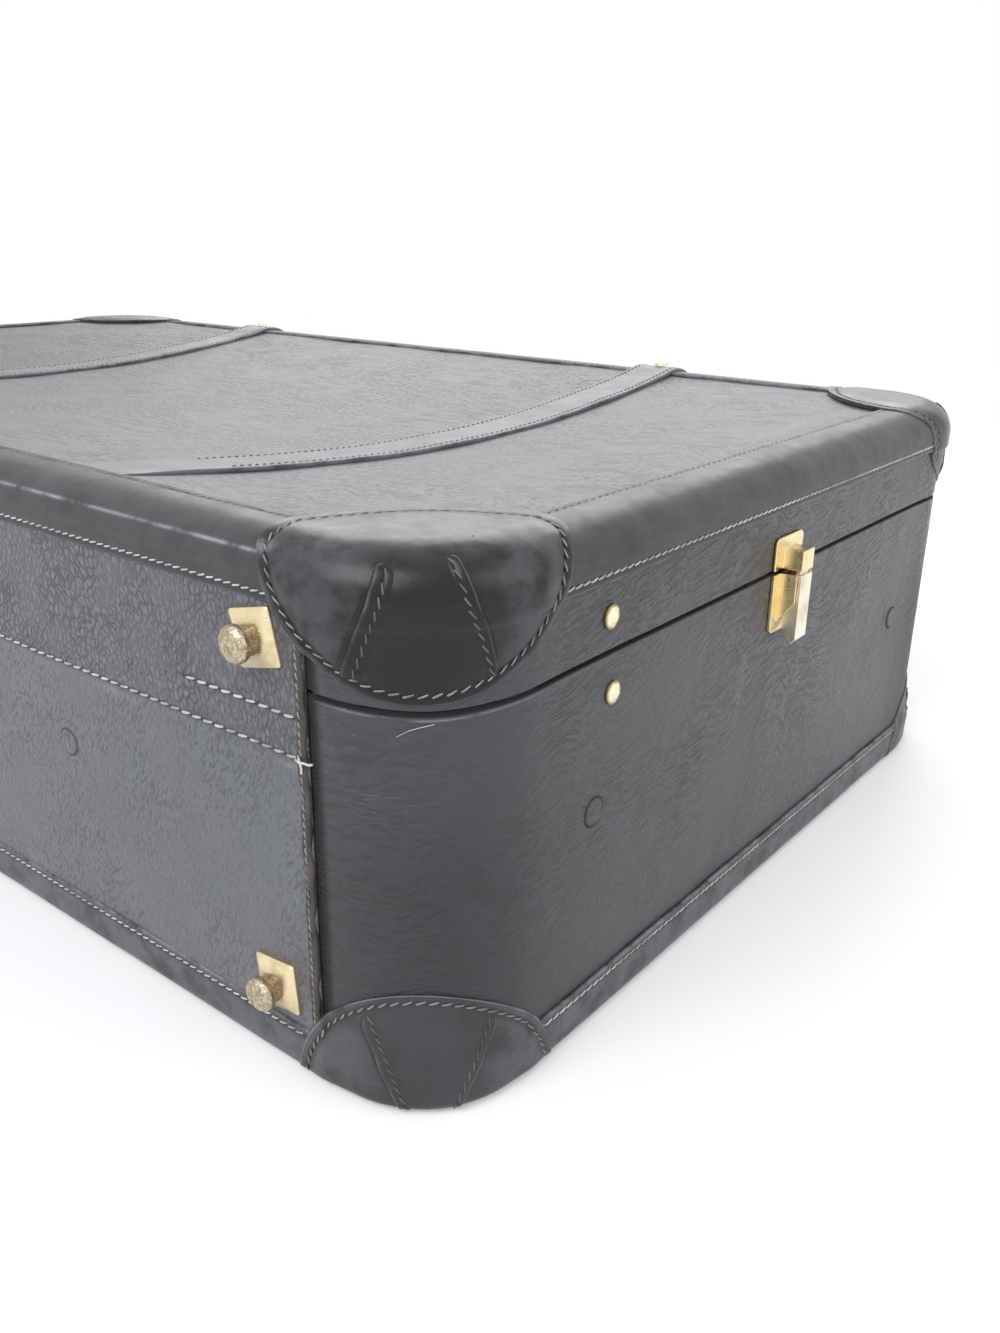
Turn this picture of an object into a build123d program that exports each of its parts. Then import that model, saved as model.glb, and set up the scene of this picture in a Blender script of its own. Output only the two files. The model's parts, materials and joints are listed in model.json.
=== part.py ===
"""A leather-covered suitcase of rigid board, with a hinged lid, brass fittings and stays.

Sizes are in millimetres. The origin is the middle of the underside, on the floor. +Z is up and
+X runs along the length. The handle and the locks are at the front, towards -Y, and the leather
hinge is at the back. Left and right are the ends at -X and +X.
"""
from math import atan2, degrees, hypot, sqrt
import os

from build123d import *

os.makedirs("parts", exist_ok=True)

# The whole case
case_length = 770.0
case_depth = 450.0
case_height = 198.0
lid_height = 47.0
split_gap = 1.6
corner_radius = 52.0

# Layers, from the inside out
lining_thickness = 0.8
board_thickness = 5.0
cover_thickness = 1.5
back_cover_lift = 1.0
binding_thickness = 1.5
cap_thickness = 1.8
floor_gap = 0.3

# Edge bindings
top_edge_radius = 14.0
bottom_edge_radius = 9.5
binding_reach = 24.0
lid_binding_drop = 21.0
base_binding_rise = 20.0

# The sag of the lid's top
dish_depth = 16.0
dish_full_length = 440.0
dish_middle_share = 0.5
dish_end_share = 0.02

# Leather corner caps, seen along the diagonal of their corner
cap_half_width = 49.0
lid_cap_drop = 40.0
lid_cap_middle = 6.0
base_cap_rise = 49.5
cap_reach = 76.5
cap_edge_radius = 125.0

# The leather back panel, which is the hinge
back_panel_inset = 53.0
back_panel_groove = 3.0
hinge_seam = 0.1

# Straps over the lid
strap_offset = 192.0
strap_width = 29.0
strap_thickness = 3.0
strap_front_drop = 34.0
strap_rivet_inset = 13.0
strap_rivet_radius = 4.2
strap_rivet_height = 1.6

# The tongue round the mouth of the base
tongue_clearance = 1.0
tongue_thickness = 2.4
tongue_rise = 8.0
tongue_seat = 9.0

# Brass feet on the back
foot_cap_gap = 1.0
lid_foot_drop = 33.5
base_foot_height = 34.0
foot_width = 20.0
foot_face_width = 14.0
foot_plate_thickness = 4.0
foot_stud_radius = 6.0
foot_stud_length = 8.0
foot_stud_round = 2.0
foot_shank_radius = 2.4

# Rivets that show on the walls
rivet_radius = 5.0
rivet_height = 1.6
covered_rivet_radius = 5.4
covered_rivet_height = 0.9
covered_rivet_inset = 85.0
covered_rivet_drop = 59.0
rivet_rim_share = 0.8

# Folding lid stays, measured forward from the back of the case
lid_stay_inset = 90.0
lid_stay_rise = 13.0
base_stay_inset = 93.0
base_stay_drop = 15.5
stay_link_length = 78.2
stay_link_width = 9.0
stay_link_thickness = 1.5
stay_link_gap = 1.6
stay_side_play = 0.2
stay_post_radius = 4.0
stay_pin_radius = 2.5
stay_head_thickness = 0.8
running_clearance = 0.05

# End clasps
clasp_width = 25.0
clasp_plate_thickness = 1.2
clasp_corner = 3.0
clasp_base_height = 26.0
clasp_lid_height = 14.0
clasp_lever_width = 10.5
clasp_lever_face = 10.0
clasp_lever_back = 3.0
clasp_lever_bevel = 2.0
clasp_lever_tip = 1.0
clasp_tail = 4.5
clasp_pivot_drop = 9.0
clasp_pivot_reach = 5.5
clasp_pin_radius = 1.4
clasp_boss_radius = 3.0
clasp_boss_play = 0.5
clasp_cheek_thickness = 1.5
clasp_cheek_gap = 0.4
clasp_tongue_thickness = 2.0
clasp_tongue_rise = 6.0
clasp_tongue_play = 0.3
clasp_hood_rise = 9.0
clasp_hood_wall = 1.0

# Locks on the front
lock_offset = 150.0
lock_width = 36.0
lock_height = 38.0
lock_depth = 6.0
lock_foot = 3.0
lock_corner = 3.0
lock_slot_width = 6.0
lock_slot_depth = 4.0
lock_slot_height = 20.0
button_width = 11.0
button_height = 7.0
button_travel = 5.0
button_depth = 3.0
button_round = 1.0
button_play = 0.3
hasp_plate_width = 30.0
hasp_plate_height = 20.0
hasp_plate_thickness = 1.2
hasp_width = 20.0
hasp_thickness = 1.6
hasp_gap = 0.5
hasp_barrel_radius = 3.0
hasp_pin_radius = 1.3
hasp_tip_gap = 1.5
staple_width = 4.0
staple_height = 5.0
staple_rise = 7.5

# Handle on the front
handle_span = 124.0
handle_split_drop = 46.0
handle_drop = 34.0
handle_reach = 11.0
grip_radius = 8.5
grip_seat_radius = 6.0
grip_end_radius = 7.2
grip_end_length = 5.0
grip_slope = 0.1
fitting_width = 9.4
fitting_depth = 8.0
eye_radius = 5.5
collar_radius = 8.2
handle_pin_radius = 2.5
bracket_width = 24.0
bracket_height = 30.0
bracket_corner = 3.0
bracket_plate_thickness = 1.5
cheek_thickness = 3.5
cheek_play = 0.3

# Worked-out levels and places
half_length = case_length / 2
half_depth = case_depth / 2
split_height = case_height - lid_height
base_top = split_height - split_gap / 2
lid_bottom = split_height + split_gap / 2
cover_top = case_height - binding_thickness
board_top = cover_top - cover_thickness
ceiling = board_top - board_thickness
board_bottom = binding_thickness + cover_thickness
floor_level = board_bottom + board_thickness
board_inset = cover_thickness
cavity_inset = board_inset + board_thickness
lining_inset = cavity_inset + lining_thickness
tongue_inset = lining_inset + tongue_clearance
tongue_inner_inset = tongue_inset + tongue_thickness
tongue_bottom = base_top - tongue_seat
lid_binding_edge = case_height - lid_binding_drop
back_panel_half = half_length - back_panel_inset
lid_cap_centre = case_height - lid_cap_middle
lid_foot_height = case_height - lid_foot_drop
lid_foot_top = lid_foot_height + foot_width / 2
lid_stay_height = split_height + lid_stay_rise
base_stay_height = split_height - base_stay_drop
covered_rivet_level = split_height - covered_rivet_drop
handle_height = split_height - handle_split_drop
cap_share = sqrt(1 - min(max((lid_cap_centre - lid_foot_top) / lid_cap_drop, 0), 1) ** 2)
foot_inset = sqrt(2) * cap_half_width * cap_share + foot_cap_gap + foot_width / 2
beyond = 10.0
SIDES = {"left": -1, "right": 1}
CORNERS = {
    "front_left": (-1, -1),
    "front_right": (1, -1),
    "back_left": (-1, 1),
    "back_right": (1, 1),
}


def case_block(inset, low, high, top_round=0.0, bottom_round=0.0):
    """A block of the case's plan, drawn in by inset all round, between two heights."""
    with BuildPart() as block:
        with BuildSketch(Plane.XY.offset(low)):
            RectangleRounded(case_length - 2 * inset, case_depth - 2 * inset, corner_radius - inset)
        extrude(amount=high - low)
        if top_round:
            fillet(block.faces().sort_by(Axis.Z)[-1].edges(), top_round)
        if bottom_round:
            fillet(block.faces().sort_by(Axis.Z)[0].edges(), bottom_round)
    return block.part


def dish_hollow(level):
    """The hollow that the lid's sag leaves under a level, with room above it for a clean cut."""
    half_chord = half_depth - binding_reach
    end = half_length - binding_reach
    full = dish_full_length / 2
    sections = ((full, 1.0), ((full + end) / 2, dish_middle_share), (end, dish_end_share))

    def section(x, share):
        lowest = level - share * dish_depth
        with BuildSketch(Plane.YZ.offset(x)) as profile:
            with BuildLine():
                sag = ThreePointArc((-half_chord, level), (0, lowest), (half_chord, level))
                Polyline(sag @ 1, (half_chord, level + beyond), (-half_chord, level + beyond), sag @ 0)
            make_face()
        return profile.sketch

    with BuildPart() as hollow:
        extrude(section(-full, 1.0).face(), amount=dish_full_length, dir=(1, 0, 0))
        for side in (-1, 1):
            loft([section(side * x, share).face() for x, share in sections])
    return hollow.part


def sagging_block(inset, low, high):
    """A case block whose top sags as the lid does."""
    with BuildPart() as block:
        add(case_block(inset, low, high))
        add(dish_hollow(high), mode=Mode.SUBTRACT)
    return block.part


def cap_region(side_x, side_y, middle, half_height, rise):
    """The prism along one corner's diagonal that outlines its leather cap.

    The outline is half an ellipse about the height named middle, closed by a straight run
    that goes rise further, and a wide arc in plan ends the cap on the flat face.
    """
    corner = Vector(side_x * half_length, side_y * half_depth, 0)
    diagonal = Plane(origin=corner, x_dir=(-side_y, side_x, 0), z_dir=(side_x, side_y, 0))
    inward = Vector(-side_x, -side_y, 0) / sqrt(2)
    arc_centre = corner + inward * (cap_reach - cap_edge_radius)
    with BuildPart() as region:
        with BuildSketch(diagonal):
            with Locations((0, middle)):
                Ellipse(cap_half_width, half_height)
            with Locations((0, middle + rise / 2)):
                Rectangle(2 * cap_half_width, abs(rise))
        extrude(amount=2 * cap_reach, both=True)
        with BuildSketch(Plane.XY.offset(-beyond)):
            with Locations((arc_centre.X, arc_centre.Y)):
                Circle(cap_edge_radius)
        extrude(amount=case_height + 3 * beyond, mode=Mode.INTERSECT)
    return region.part


def wall(outward, along, height, lift=0.0):
    """A plane on a wall's leather. Its x runs level, its y runs up and its z points outward."""
    normal = Vector(*outward, 0)
    level = Vector(0, 0, 1).cross(normal)
    reach = half_length if outward[0] else half_depth
    origin = normal * (reach + lift) + level * along + Vector(0, 0, height)
    return Plane(origin=origin, x_dir=level, z_dir=normal)


def side_view(plane):
    """The plane that looks along a wall plane's level axis: its x points outward, its y up."""
    return Plane(origin=plane.origin, x_dir=plane.z_dir, z_dir=plane.z_dir.cross(plane.y_dir))


def end_wall(side, inset, height, lift=0.0):
    """A wall plane on one end, placed by its distance forward from the back of the case."""
    return wall((side, 0), side * (half_depth - inset), height, lift)


def save(piece, name):
    """Labels a finished piece and writes it."""
    piece.part.label = name
    export_step(piece.part, f"parts/{name}.step")


lid_cap_regions = [
    cap_region(x, y, lid_cap_centre, lid_cap_drop, lid_cap_middle + beyond)
    for x, y in CORNERS.values()
]
base_cap_regions = [cap_region(x, y, 0, base_cap_rise, -beyond) for x, y in CORNERS.values()]

# Board shells
with BuildPart() as base_shell:
    add(case_block(board_inset, board_bottom, base_top,
                   bottom_round=bottom_edge_radius - binding_thickness - board_inset))
    add(case_block(cavity_inset, floor_level, base_top + beyond), mode=Mode.SUBTRACT)
save(base_shell, "base_shell")

with BuildPart() as lid_shell:
    add(case_block(board_inset, lid_bottom, board_top,
                   top_round=top_edge_radius - binding_thickness - board_inset))
    add(dish_hollow(board_top), mode=Mode.SUBTRACT)
    add(sagging_block(cavity_inset, lid_bottom - beyond, ceiling), mode=Mode.SUBTRACT)
save(lid_shell, "lid_shell")

# Linings
with BuildPart() as base_lining:
    add(case_block(cavity_inset, floor_level, tongue_bottom))
    add(case_block(lining_inset, floor_level + lining_thickness, tongue_bottom + beyond), mode=Mode.SUBTRACT)
save(base_lining, "base_lining")

with BuildPart() as lid_lining:
    add(sagging_block(cavity_inset, lid_bottom, ceiling))
    add(sagging_block(lining_inset, lid_bottom - beyond, ceiling - lining_thickness), mode=Mode.SUBTRACT)
save(lid_lining, "lid_lining")

# Leather round the walls, left open at the back for the hinge panel
with BuildPart() as base_side_cover:
    add(case_block(0, bottom_edge_radius, base_top))
    add(case_block(cover_thickness, 0, base_top + beyond), mode=Mode.SUBTRACT)
    with Locations((0, half_depth, base_binding_rise)):
        Box(2 * (back_panel_half + back_panel_groove), 2 * cover_thickness + beyond, case_height,
            align=(Align.CENTER, Align.CENTER, Align.MIN), mode=Mode.SUBTRACT)
save(base_side_cover, "base_side_cover")

with BuildPart() as lid_side_cover:
    add(case_block(0, lid_bottom, case_height - top_edge_radius))
    add(case_block(cover_thickness, 0, case_height), mode=Mode.SUBTRACT)
    with Locations((0, half_depth, lid_binding_edge)):
        Box(2 * (back_panel_half + back_panel_groove), 2 * cover_thickness + beyond, case_height,
            align=(Align.CENTER, Align.CENTER, Align.MAX), mode=Mode.SUBTRACT)
save(lid_side_cover, "lid_side_cover")

with BuildPart() as lid_top_cover:
    add(sagging_block(top_edge_radius, ceiling - dish_depth - beyond, cover_top))
    add(sagging_block(top_edge_radius, ceiling - dish_depth - 2 * beyond, board_top), mode=Mode.SUBTRACT)
save(lid_top_cover, "lid_top_cover")

# The back panel is one piece of leather over base and lid: its two halves meet on the hinge line
for name, low, high, regions in (
    ("base_back_cover", base_binding_rise, split_height - hinge_seam, base_cap_regions),
    ("lid_back_cover", split_height + hinge_seam, lid_binding_edge, lid_cap_regions),
):
    with BuildPart() as back_cover:
        with Locations((0, half_depth - cover_thickness, low)):
            Box(2 * back_panel_half, cover_thickness + back_cover_lift, high - low,
                align=(Align.CENTER, Align.MIN, Align.MIN))
        for region in regions:
            add(region, mode=Mode.SUBTRACT)
    save(back_cover, name)

with BuildPart() as bottom_panel:
    add(case_block(binding_reach, 0, board_bottom))
save(bottom_panel, "bottom_panel")

# Edge bindings, which stop at the corner caps
with BuildPart() as base_binding:
    add(case_block(-binding_thickness, floor_gap, base_binding_rise, bottom_round=bottom_edge_radius))
    add(case_block(0, binding_thickness, base_binding_rise + beyond,
                   bottom_round=bottom_edge_radius - binding_thickness), mode=Mode.SUBTRACT)
    add(case_block(binding_reach, -beyond, base_binding_rise), mode=Mode.SUBTRACT)
    for region in base_cap_regions:
        add(region, mode=Mode.SUBTRACT)
save(base_binding, "base_binding")

with BuildPart() as lid_binding:
    add(case_block(-binding_thickness, lid_binding_edge, case_height, top_round=top_edge_radius))
    add(case_block(0, lid_bottom, cover_top, top_round=top_edge_radius - binding_thickness),
        mode=Mode.SUBTRACT)
    add(case_block(binding_reach, lid_bottom, case_height + beyond), mode=Mode.SUBTRACT)
    for region in lid_cap_regions:
        add(region, mode=Mode.SUBTRACT)
save(lid_binding, "lid_binding")

# Corner caps, each cut from a shell that goes over the binding
cap_lift = binding_thickness + cap_thickness
with BuildPart() as lid_cap_shell:
    add(case_block(-cap_lift, lid_bottom, case_height + cap_thickness,
                   top_round=top_edge_radius + cap_thickness))
    add(case_block(0, 0, cover_top, top_round=top_edge_radius - binding_thickness), mode=Mode.SUBTRACT)
with BuildPart() as base_cap_shell:
    add(case_block(-cap_lift, floor_gap, base_cap_rise + beyond,
                   bottom_round=bottom_edge_radius + cap_thickness))
    add(case_block(0, binding_thickness, case_height,
                   bottom_round=bottom_edge_radius - binding_thickness), mode=Mode.SUBTRACT)
    add(case_block(binding_reach, -beyond, base_cap_rise), mode=Mode.SUBTRACT)
for name, lid_region, base_region in zip(CORNERS, lid_cap_regions, base_cap_regions):
    with BuildPart() as lid_cap:
        add(lid_cap_shell.part)
        add(lid_region, mode=Mode.INTERSECT)
    save(lid_cap, f"lid_cap_{name}")
    with BuildPart() as base_cap:
        add(base_cap_shell.part)
        add(base_region, mode=Mode.INTERSECT)
    save(base_cap, f"base_cap_{name}")

# Straps, which sag with the lid's top and go over its front edge
strap_top = case_height + strap_thickness
front_wrap = case_block(-binding_thickness - strap_thickness, case_height - strap_front_drop, strap_top,
                        top_round=top_edge_radius + strap_thickness)
binding_envelope = case_block(-binding_thickness, 0, case_height, top_round=top_edge_radius)
front_end = binding_reach - half_depth
sag_below = sagging_block(0, 0, cover_top)
sag_above = dish_hollow(cover_top + strap_thickness)
for name, side in SIDES.items():
    with BuildPart() as strap_end:
        add(front_wrap)
        add(binding_envelope, mode=Mode.SUBTRACT)
        with Locations((side * strap_offset, front_end, 0)):
            Box(strap_width, 2 * binding_reach, 3 * case_height,
                align=(Align.CENTER, Align.MAX, Align.CENTER), mode=Mode.INTERSECT)
    with BuildPart() as lid_strap:
        with BuildSketch(Plane.XY.offset(cover_top - dish_depth - beyond)):
            with Locations((side * strap_offset, 0)):
                Rectangle(strap_width, -2 * front_end)
        extrude(amount=dish_depth + beyond + strap_thickness)
        add(sag_above, mode=Mode.SUBTRACT)
        add(sag_below, mode=Mode.SUBTRACT)
        add(strap_end.part)
    save(lid_strap, f"lid_strap_{name}")


def outward_axis(plane):
    """The axis that leaves a wall plane at its origin."""
    return Axis(plane.origin, plane.z_dir)


def rivet_head(plane, radius, height):
    """One low round head with a rounded rim, standing on a wall plane."""
    with BuildPart() as head:
        with BuildSketch(plane):
            Circle(radius)
        extrude(amount=height)
        fillet(head.faces().sort_by(outward_axis(plane))[-1].edges(), rivet_rim_share * height)
    return head.part


def group(name, pieces):
    """Writes like pieces as one node of separate solids."""
    with BuildPart() as together:
        for piece in pieces:
            add(piece)
    save(together, name)


# Rivets that show
group("base_stay_rivets", [
    rivet_head(end_wall(side, base_stay_inset, base_stay_height), rivet_radius, rivet_height)
    for side in SIDES.values()
])
group("lid_stay_rivets", [
    rivet_head(end_wall(side, lid_stay_inset, lid_stay_height), rivet_radius, rivet_height)
    for side in SIDES.values()
])
group("strap_rivets", [
    rivet_head(Plane((side * strap_offset, strap_rivet_inset - half_depth, strap_top)),
               strap_rivet_radius, strap_rivet_height)
    for side in SIDES.values()
])
covered_planes = [
    end_wall(side, inset, covered_rivet_level)
    for side in SIDES.values()
    for inset in (covered_rivet_inset, case_depth - covered_rivet_inset)
] + [wall((0, 1), side * strap_offset, covered_rivet_level, back_cover_lift) for side in SIDES.values()]
group("covered_rivets", [
    rivet_head(plane, covered_rivet_radius, covered_rivet_height) for plane in covered_planes
])

# Brass feet on the back panel: a square bevelled plate with a stud through it
for name, height in (("lid", lid_foot_height), ("base", base_foot_height)):
    plates = []
    studs = []
    for side in SIDES.values():
        seat = wall((0, 1), side * (half_length - foot_inset), height, back_cover_lift)
        with BuildPart() as foot_plate:
            with BuildSketch(seat):
                Rectangle(foot_width, foot_width)
            with BuildSketch(seat.offset(foot_plate_thickness)):
                Rectangle(foot_face_width, foot_face_width)
            loft()
            with BuildSketch(seat):
                Circle(foot_shank_radius)
            extrude(amount=foot_plate_thickness, mode=Mode.SUBTRACT)
        with BuildPart() as foot_stud:
            with BuildSketch(seat):
                Circle(foot_shank_radius)
            extrude(amount=foot_plate_thickness)
            with BuildSketch(seat.offset(foot_plate_thickness)):
                Circle(foot_stud_radius)
            extrude(amount=foot_stud_length)
            fillet(foot_stud.faces().sort_by(outward_axis(seat))[-1].edges(), foot_stud_round)
        plates.append(foot_plate.part)
        studs.append(foot_stud.part)
    group(f"{name}_foot_plates", plates)
    group(f"{name}_foot_studs", studs)

# The tongue: four strips round the mouth of the base, each a stepped section
with BuildPart() as rim_tongue:
    for side in SIDES.values():
        for view, half, run in (
            (Plane.YZ, half_depth, half_length - corner_radius),
            (Plane.XZ, half_length, half_depth - corner_radius),
        ):
            with BuildSketch(view):
                with BuildLine():
                    Polyline(
                        (side * (half - cavity_inset), tongue_bottom),
                        (side * (half - cavity_inset), base_top),
                        (side * (half - tongue_inset), base_top),
                        (side * (half - tongue_inset), base_top + tongue_rise),
                        (side * (half - tongue_inner_inset), base_top + tongue_rise),
                        (side * (half - tongue_inner_inset), tongue_bottom),
                        close=True,
                    )
                make_face()
            extrude(amount=run, both=True)
save(rim_tongue, "rim_tongue")

# Folding stays. Each end has a link on a lid post and a link on a base post, which lie side by
# side and meet where the two links' circles cross.
link_inset = tongue_inner_inset + tongue_clearance
lid_link_near = link_inset
base_link_near = lid_link_near + stay_link_thickness + stay_link_gap
knee_inset = (lid_stay_inset + base_stay_inset) / 2
knee_height = (lid_stay_height + base_stay_height) / 2
post_distance = hypot(base_stay_inset - lid_stay_inset, lid_stay_height - base_stay_height)
knee_reach = sqrt(stay_link_length ** 2 - (post_distance / 2) ** 2)
knee_inset += knee_reach * (lid_stay_height - base_stay_height) / post_distance
knee_height += knee_reach * (base_stay_inset - lid_stay_inset) / post_distance


def stay_post(side, inset, height, link_near):
    """A brass post from the lining to one link: a shoulder, a pin through the link and a head."""
    shoulder = link_near - stay_side_play
    pin_length = stay_link_thickness + 2 * stay_side_play
    with BuildPart() as post:
        for start, length, radius in (
            (lining_inset, shoulder - lining_inset, stay_post_radius),
            (shoulder, pin_length, stay_pin_radius),
            (shoulder + pin_length, stay_head_thickness, stay_post_radius),
        ):
            with BuildSketch(end_wall(side, inset, height, -start)):
                Circle(radius)
            extrude(amount=-length)
    return post.part


def stay_link(side, inset, height, near, rivet_length):
    """A flat link from its post to the knee, with a running bore at the post."""
    seat = end_wall(side, inset, height, -near)
    knee = seat.to_local_coords(Vector(seat.origin.X, half_depth - knee_inset, knee_height))
    middle = knee / 2
    with BuildPart() as link:
        with BuildSketch(seat):
            with Locations(Location((middle.X, middle.Y, 0), (0, 0, degrees(atan2(knee.Y, knee.X))))):
                SlotCenterToCenter(stay_link_length, stay_link_width)
            Circle(stay_pin_radius + running_clearance, mode=Mode.SUBTRACT)
        extrude(amount=-stay_link_thickness)
        if rivet_length:
            with BuildSketch(seat):
                with Locations((knee.X, knee.Y)):
                    Circle(stay_post_radius)
            extrude(amount=rivet_length)
    return link


group("lid_stay_posts", [
    stay_post(side, lid_stay_inset, lid_stay_height, lid_link_near) for side in SIDES.values()
])
group("base_stay_posts", [
    stay_post(side, base_stay_inset, base_stay_height, base_link_near) for side in SIDES.values()
])
for name, side in SIDES.items():
    save(stay_link(side, lid_stay_inset, lid_stay_height, lid_link_near, 0), f"lid_stay_link_{name}")
    save(stay_link(side, base_stay_inset, base_stay_height, base_link_near, stay_link_gap / 2),
         f"base_stay_link_{name}")

# End clasps: a cheeked plate and a sprung lever on the base, and a hooded keeper on the lid
clasp_pivot_height = base_top - clasp_pivot_drop
clasp_inner_width = clasp_lever_width + 2 * clasp_cheek_gap
clasp_cheek_reach = clasp_pivot_reach + clasp_boss_radius
face = clasp_lever_face
tail = -clasp_base_height - clasp_tail
clasp_tongue_width = clasp_lever_width - 2 * (clasp_hood_wall + clasp_tongue_play)
hood_cavity = face - clasp_hood_wall
shoulder = hood_cavity - clasp_tongue_play - clasp_tongue_thickness
clasp_pins = []
for name, side in SIDES.items():
    seat = end_wall(side, half_depth, base_top)
    view = side_view(seat)
    with BuildPart() as clasp_plate:
        with BuildSketch(seat):
            Rectangle(clasp_width, clasp_base_height, align=(Align.CENTER, Align.MAX))
        extrude(amount=clasp_plate_thickness)
        fillet(clasp_plate.edges().filter_by(Axis.X).group_by(Axis.Z)[0], clasp_corner)
        for edge in (-1, 1):
            with BuildSketch(view.offset(edge * clasp_inner_width / 2)):
                with BuildLine():
                    Polyline(
                        (0, 0),
                        (clasp_cheek_reach, 0),
                        (clasp_cheek_reach, -clasp_pivot_drop - clasp_boss_radius),
                        (0, -clasp_base_height + clasp_boss_radius),
                        close=True,
                    )
                make_face()
                with Locations((clasp_pivot_reach, -clasp_pivot_drop)):
                    Circle(clasp_pin_radius, mode=Mode.SUBTRACT)
            extrude(amount=edge * clasp_cheek_thickness)
    save(clasp_plate, f"clasp_plate_{name}")

    with BuildPart() as clasp_pin:
        with BuildSketch(view):
            with Locations((clasp_pivot_reach, -clasp_pivot_drop)):
                Circle(clasp_pin_radius)
        extrude(amount=clasp_inner_width / 2 + clasp_cheek_thickness, both=True)
    clasp_pins.append(clasp_pin.part)

    with BuildPart() as clasp_lever:
        with BuildSketch(view):
            with BuildLine():
                Polyline(
                    (face, 0),
                    (face, tail + clasp_lever_bevel),
                    (face - clasp_lever_bevel, tail),
                    (face - clasp_lever_bevel - clasp_lever_tip, tail),
                    (clasp_lever_back, -clasp_base_height + clasp_lever_bevel),
                    (clasp_lever_back, -clasp_pivot_drop - clasp_boss_radius),
                    (shoulder, 0),
                    close=True,
                )
            make_face()
            with Locations((clasp_pivot_reach, -clasp_pivot_drop)):
                Circle(clasp_boss_radius - clasp_boss_play)
                Circle(clasp_pin_radius + running_clearance, mode=Mode.SUBTRACT)
        extrude(amount=clasp_lever_width / 2, both=True)
        with BuildSketch(view):
            with Locations((shoulder, 0)):
                Rectangle(clasp_tongue_thickness, split_gap + clasp_tongue_rise,
                          align=(Align.MIN, Align.MIN))
        extrude(amount=clasp_tongue_width / 2, both=True)
    save(clasp_lever, f"clasp_lever_{name}")

    lid_seat = end_wall(side, half_depth, lid_bottom)
    with BuildPart() as clasp_keeper:
        with BuildSketch(lid_seat):
            Rectangle(clasp_width, clasp_lid_height, align=(Align.CENTER, Align.MIN))
        extrude(amount=clasp_plate_thickness)
        fillet(clasp_keeper.edges().filter_by(Axis.X).group_by(Axis.Z)[-1], clasp_corner)
        with BuildSketch(lid_seat):
            Rectangle(clasp_lever_width, clasp_hood_rise, align=(Align.CENTER, Align.MIN))
        extrude(amount=face)
        with BuildSketch(lid_seat.offset(clasp_plate_thickness)):
            Rectangle(clasp_lever_width - 2 * clasp_hood_wall, clasp_hood_rise - clasp_hood_wall,
                      align=(Align.CENTER, Align.MIN))
        extrude(amount=hood_cavity - clasp_plate_thickness, mode=Mode.SUBTRACT)
    save(clasp_keeper, f"clasp_keeper_{name}")
group("clasp_pins", clasp_pins)

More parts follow.
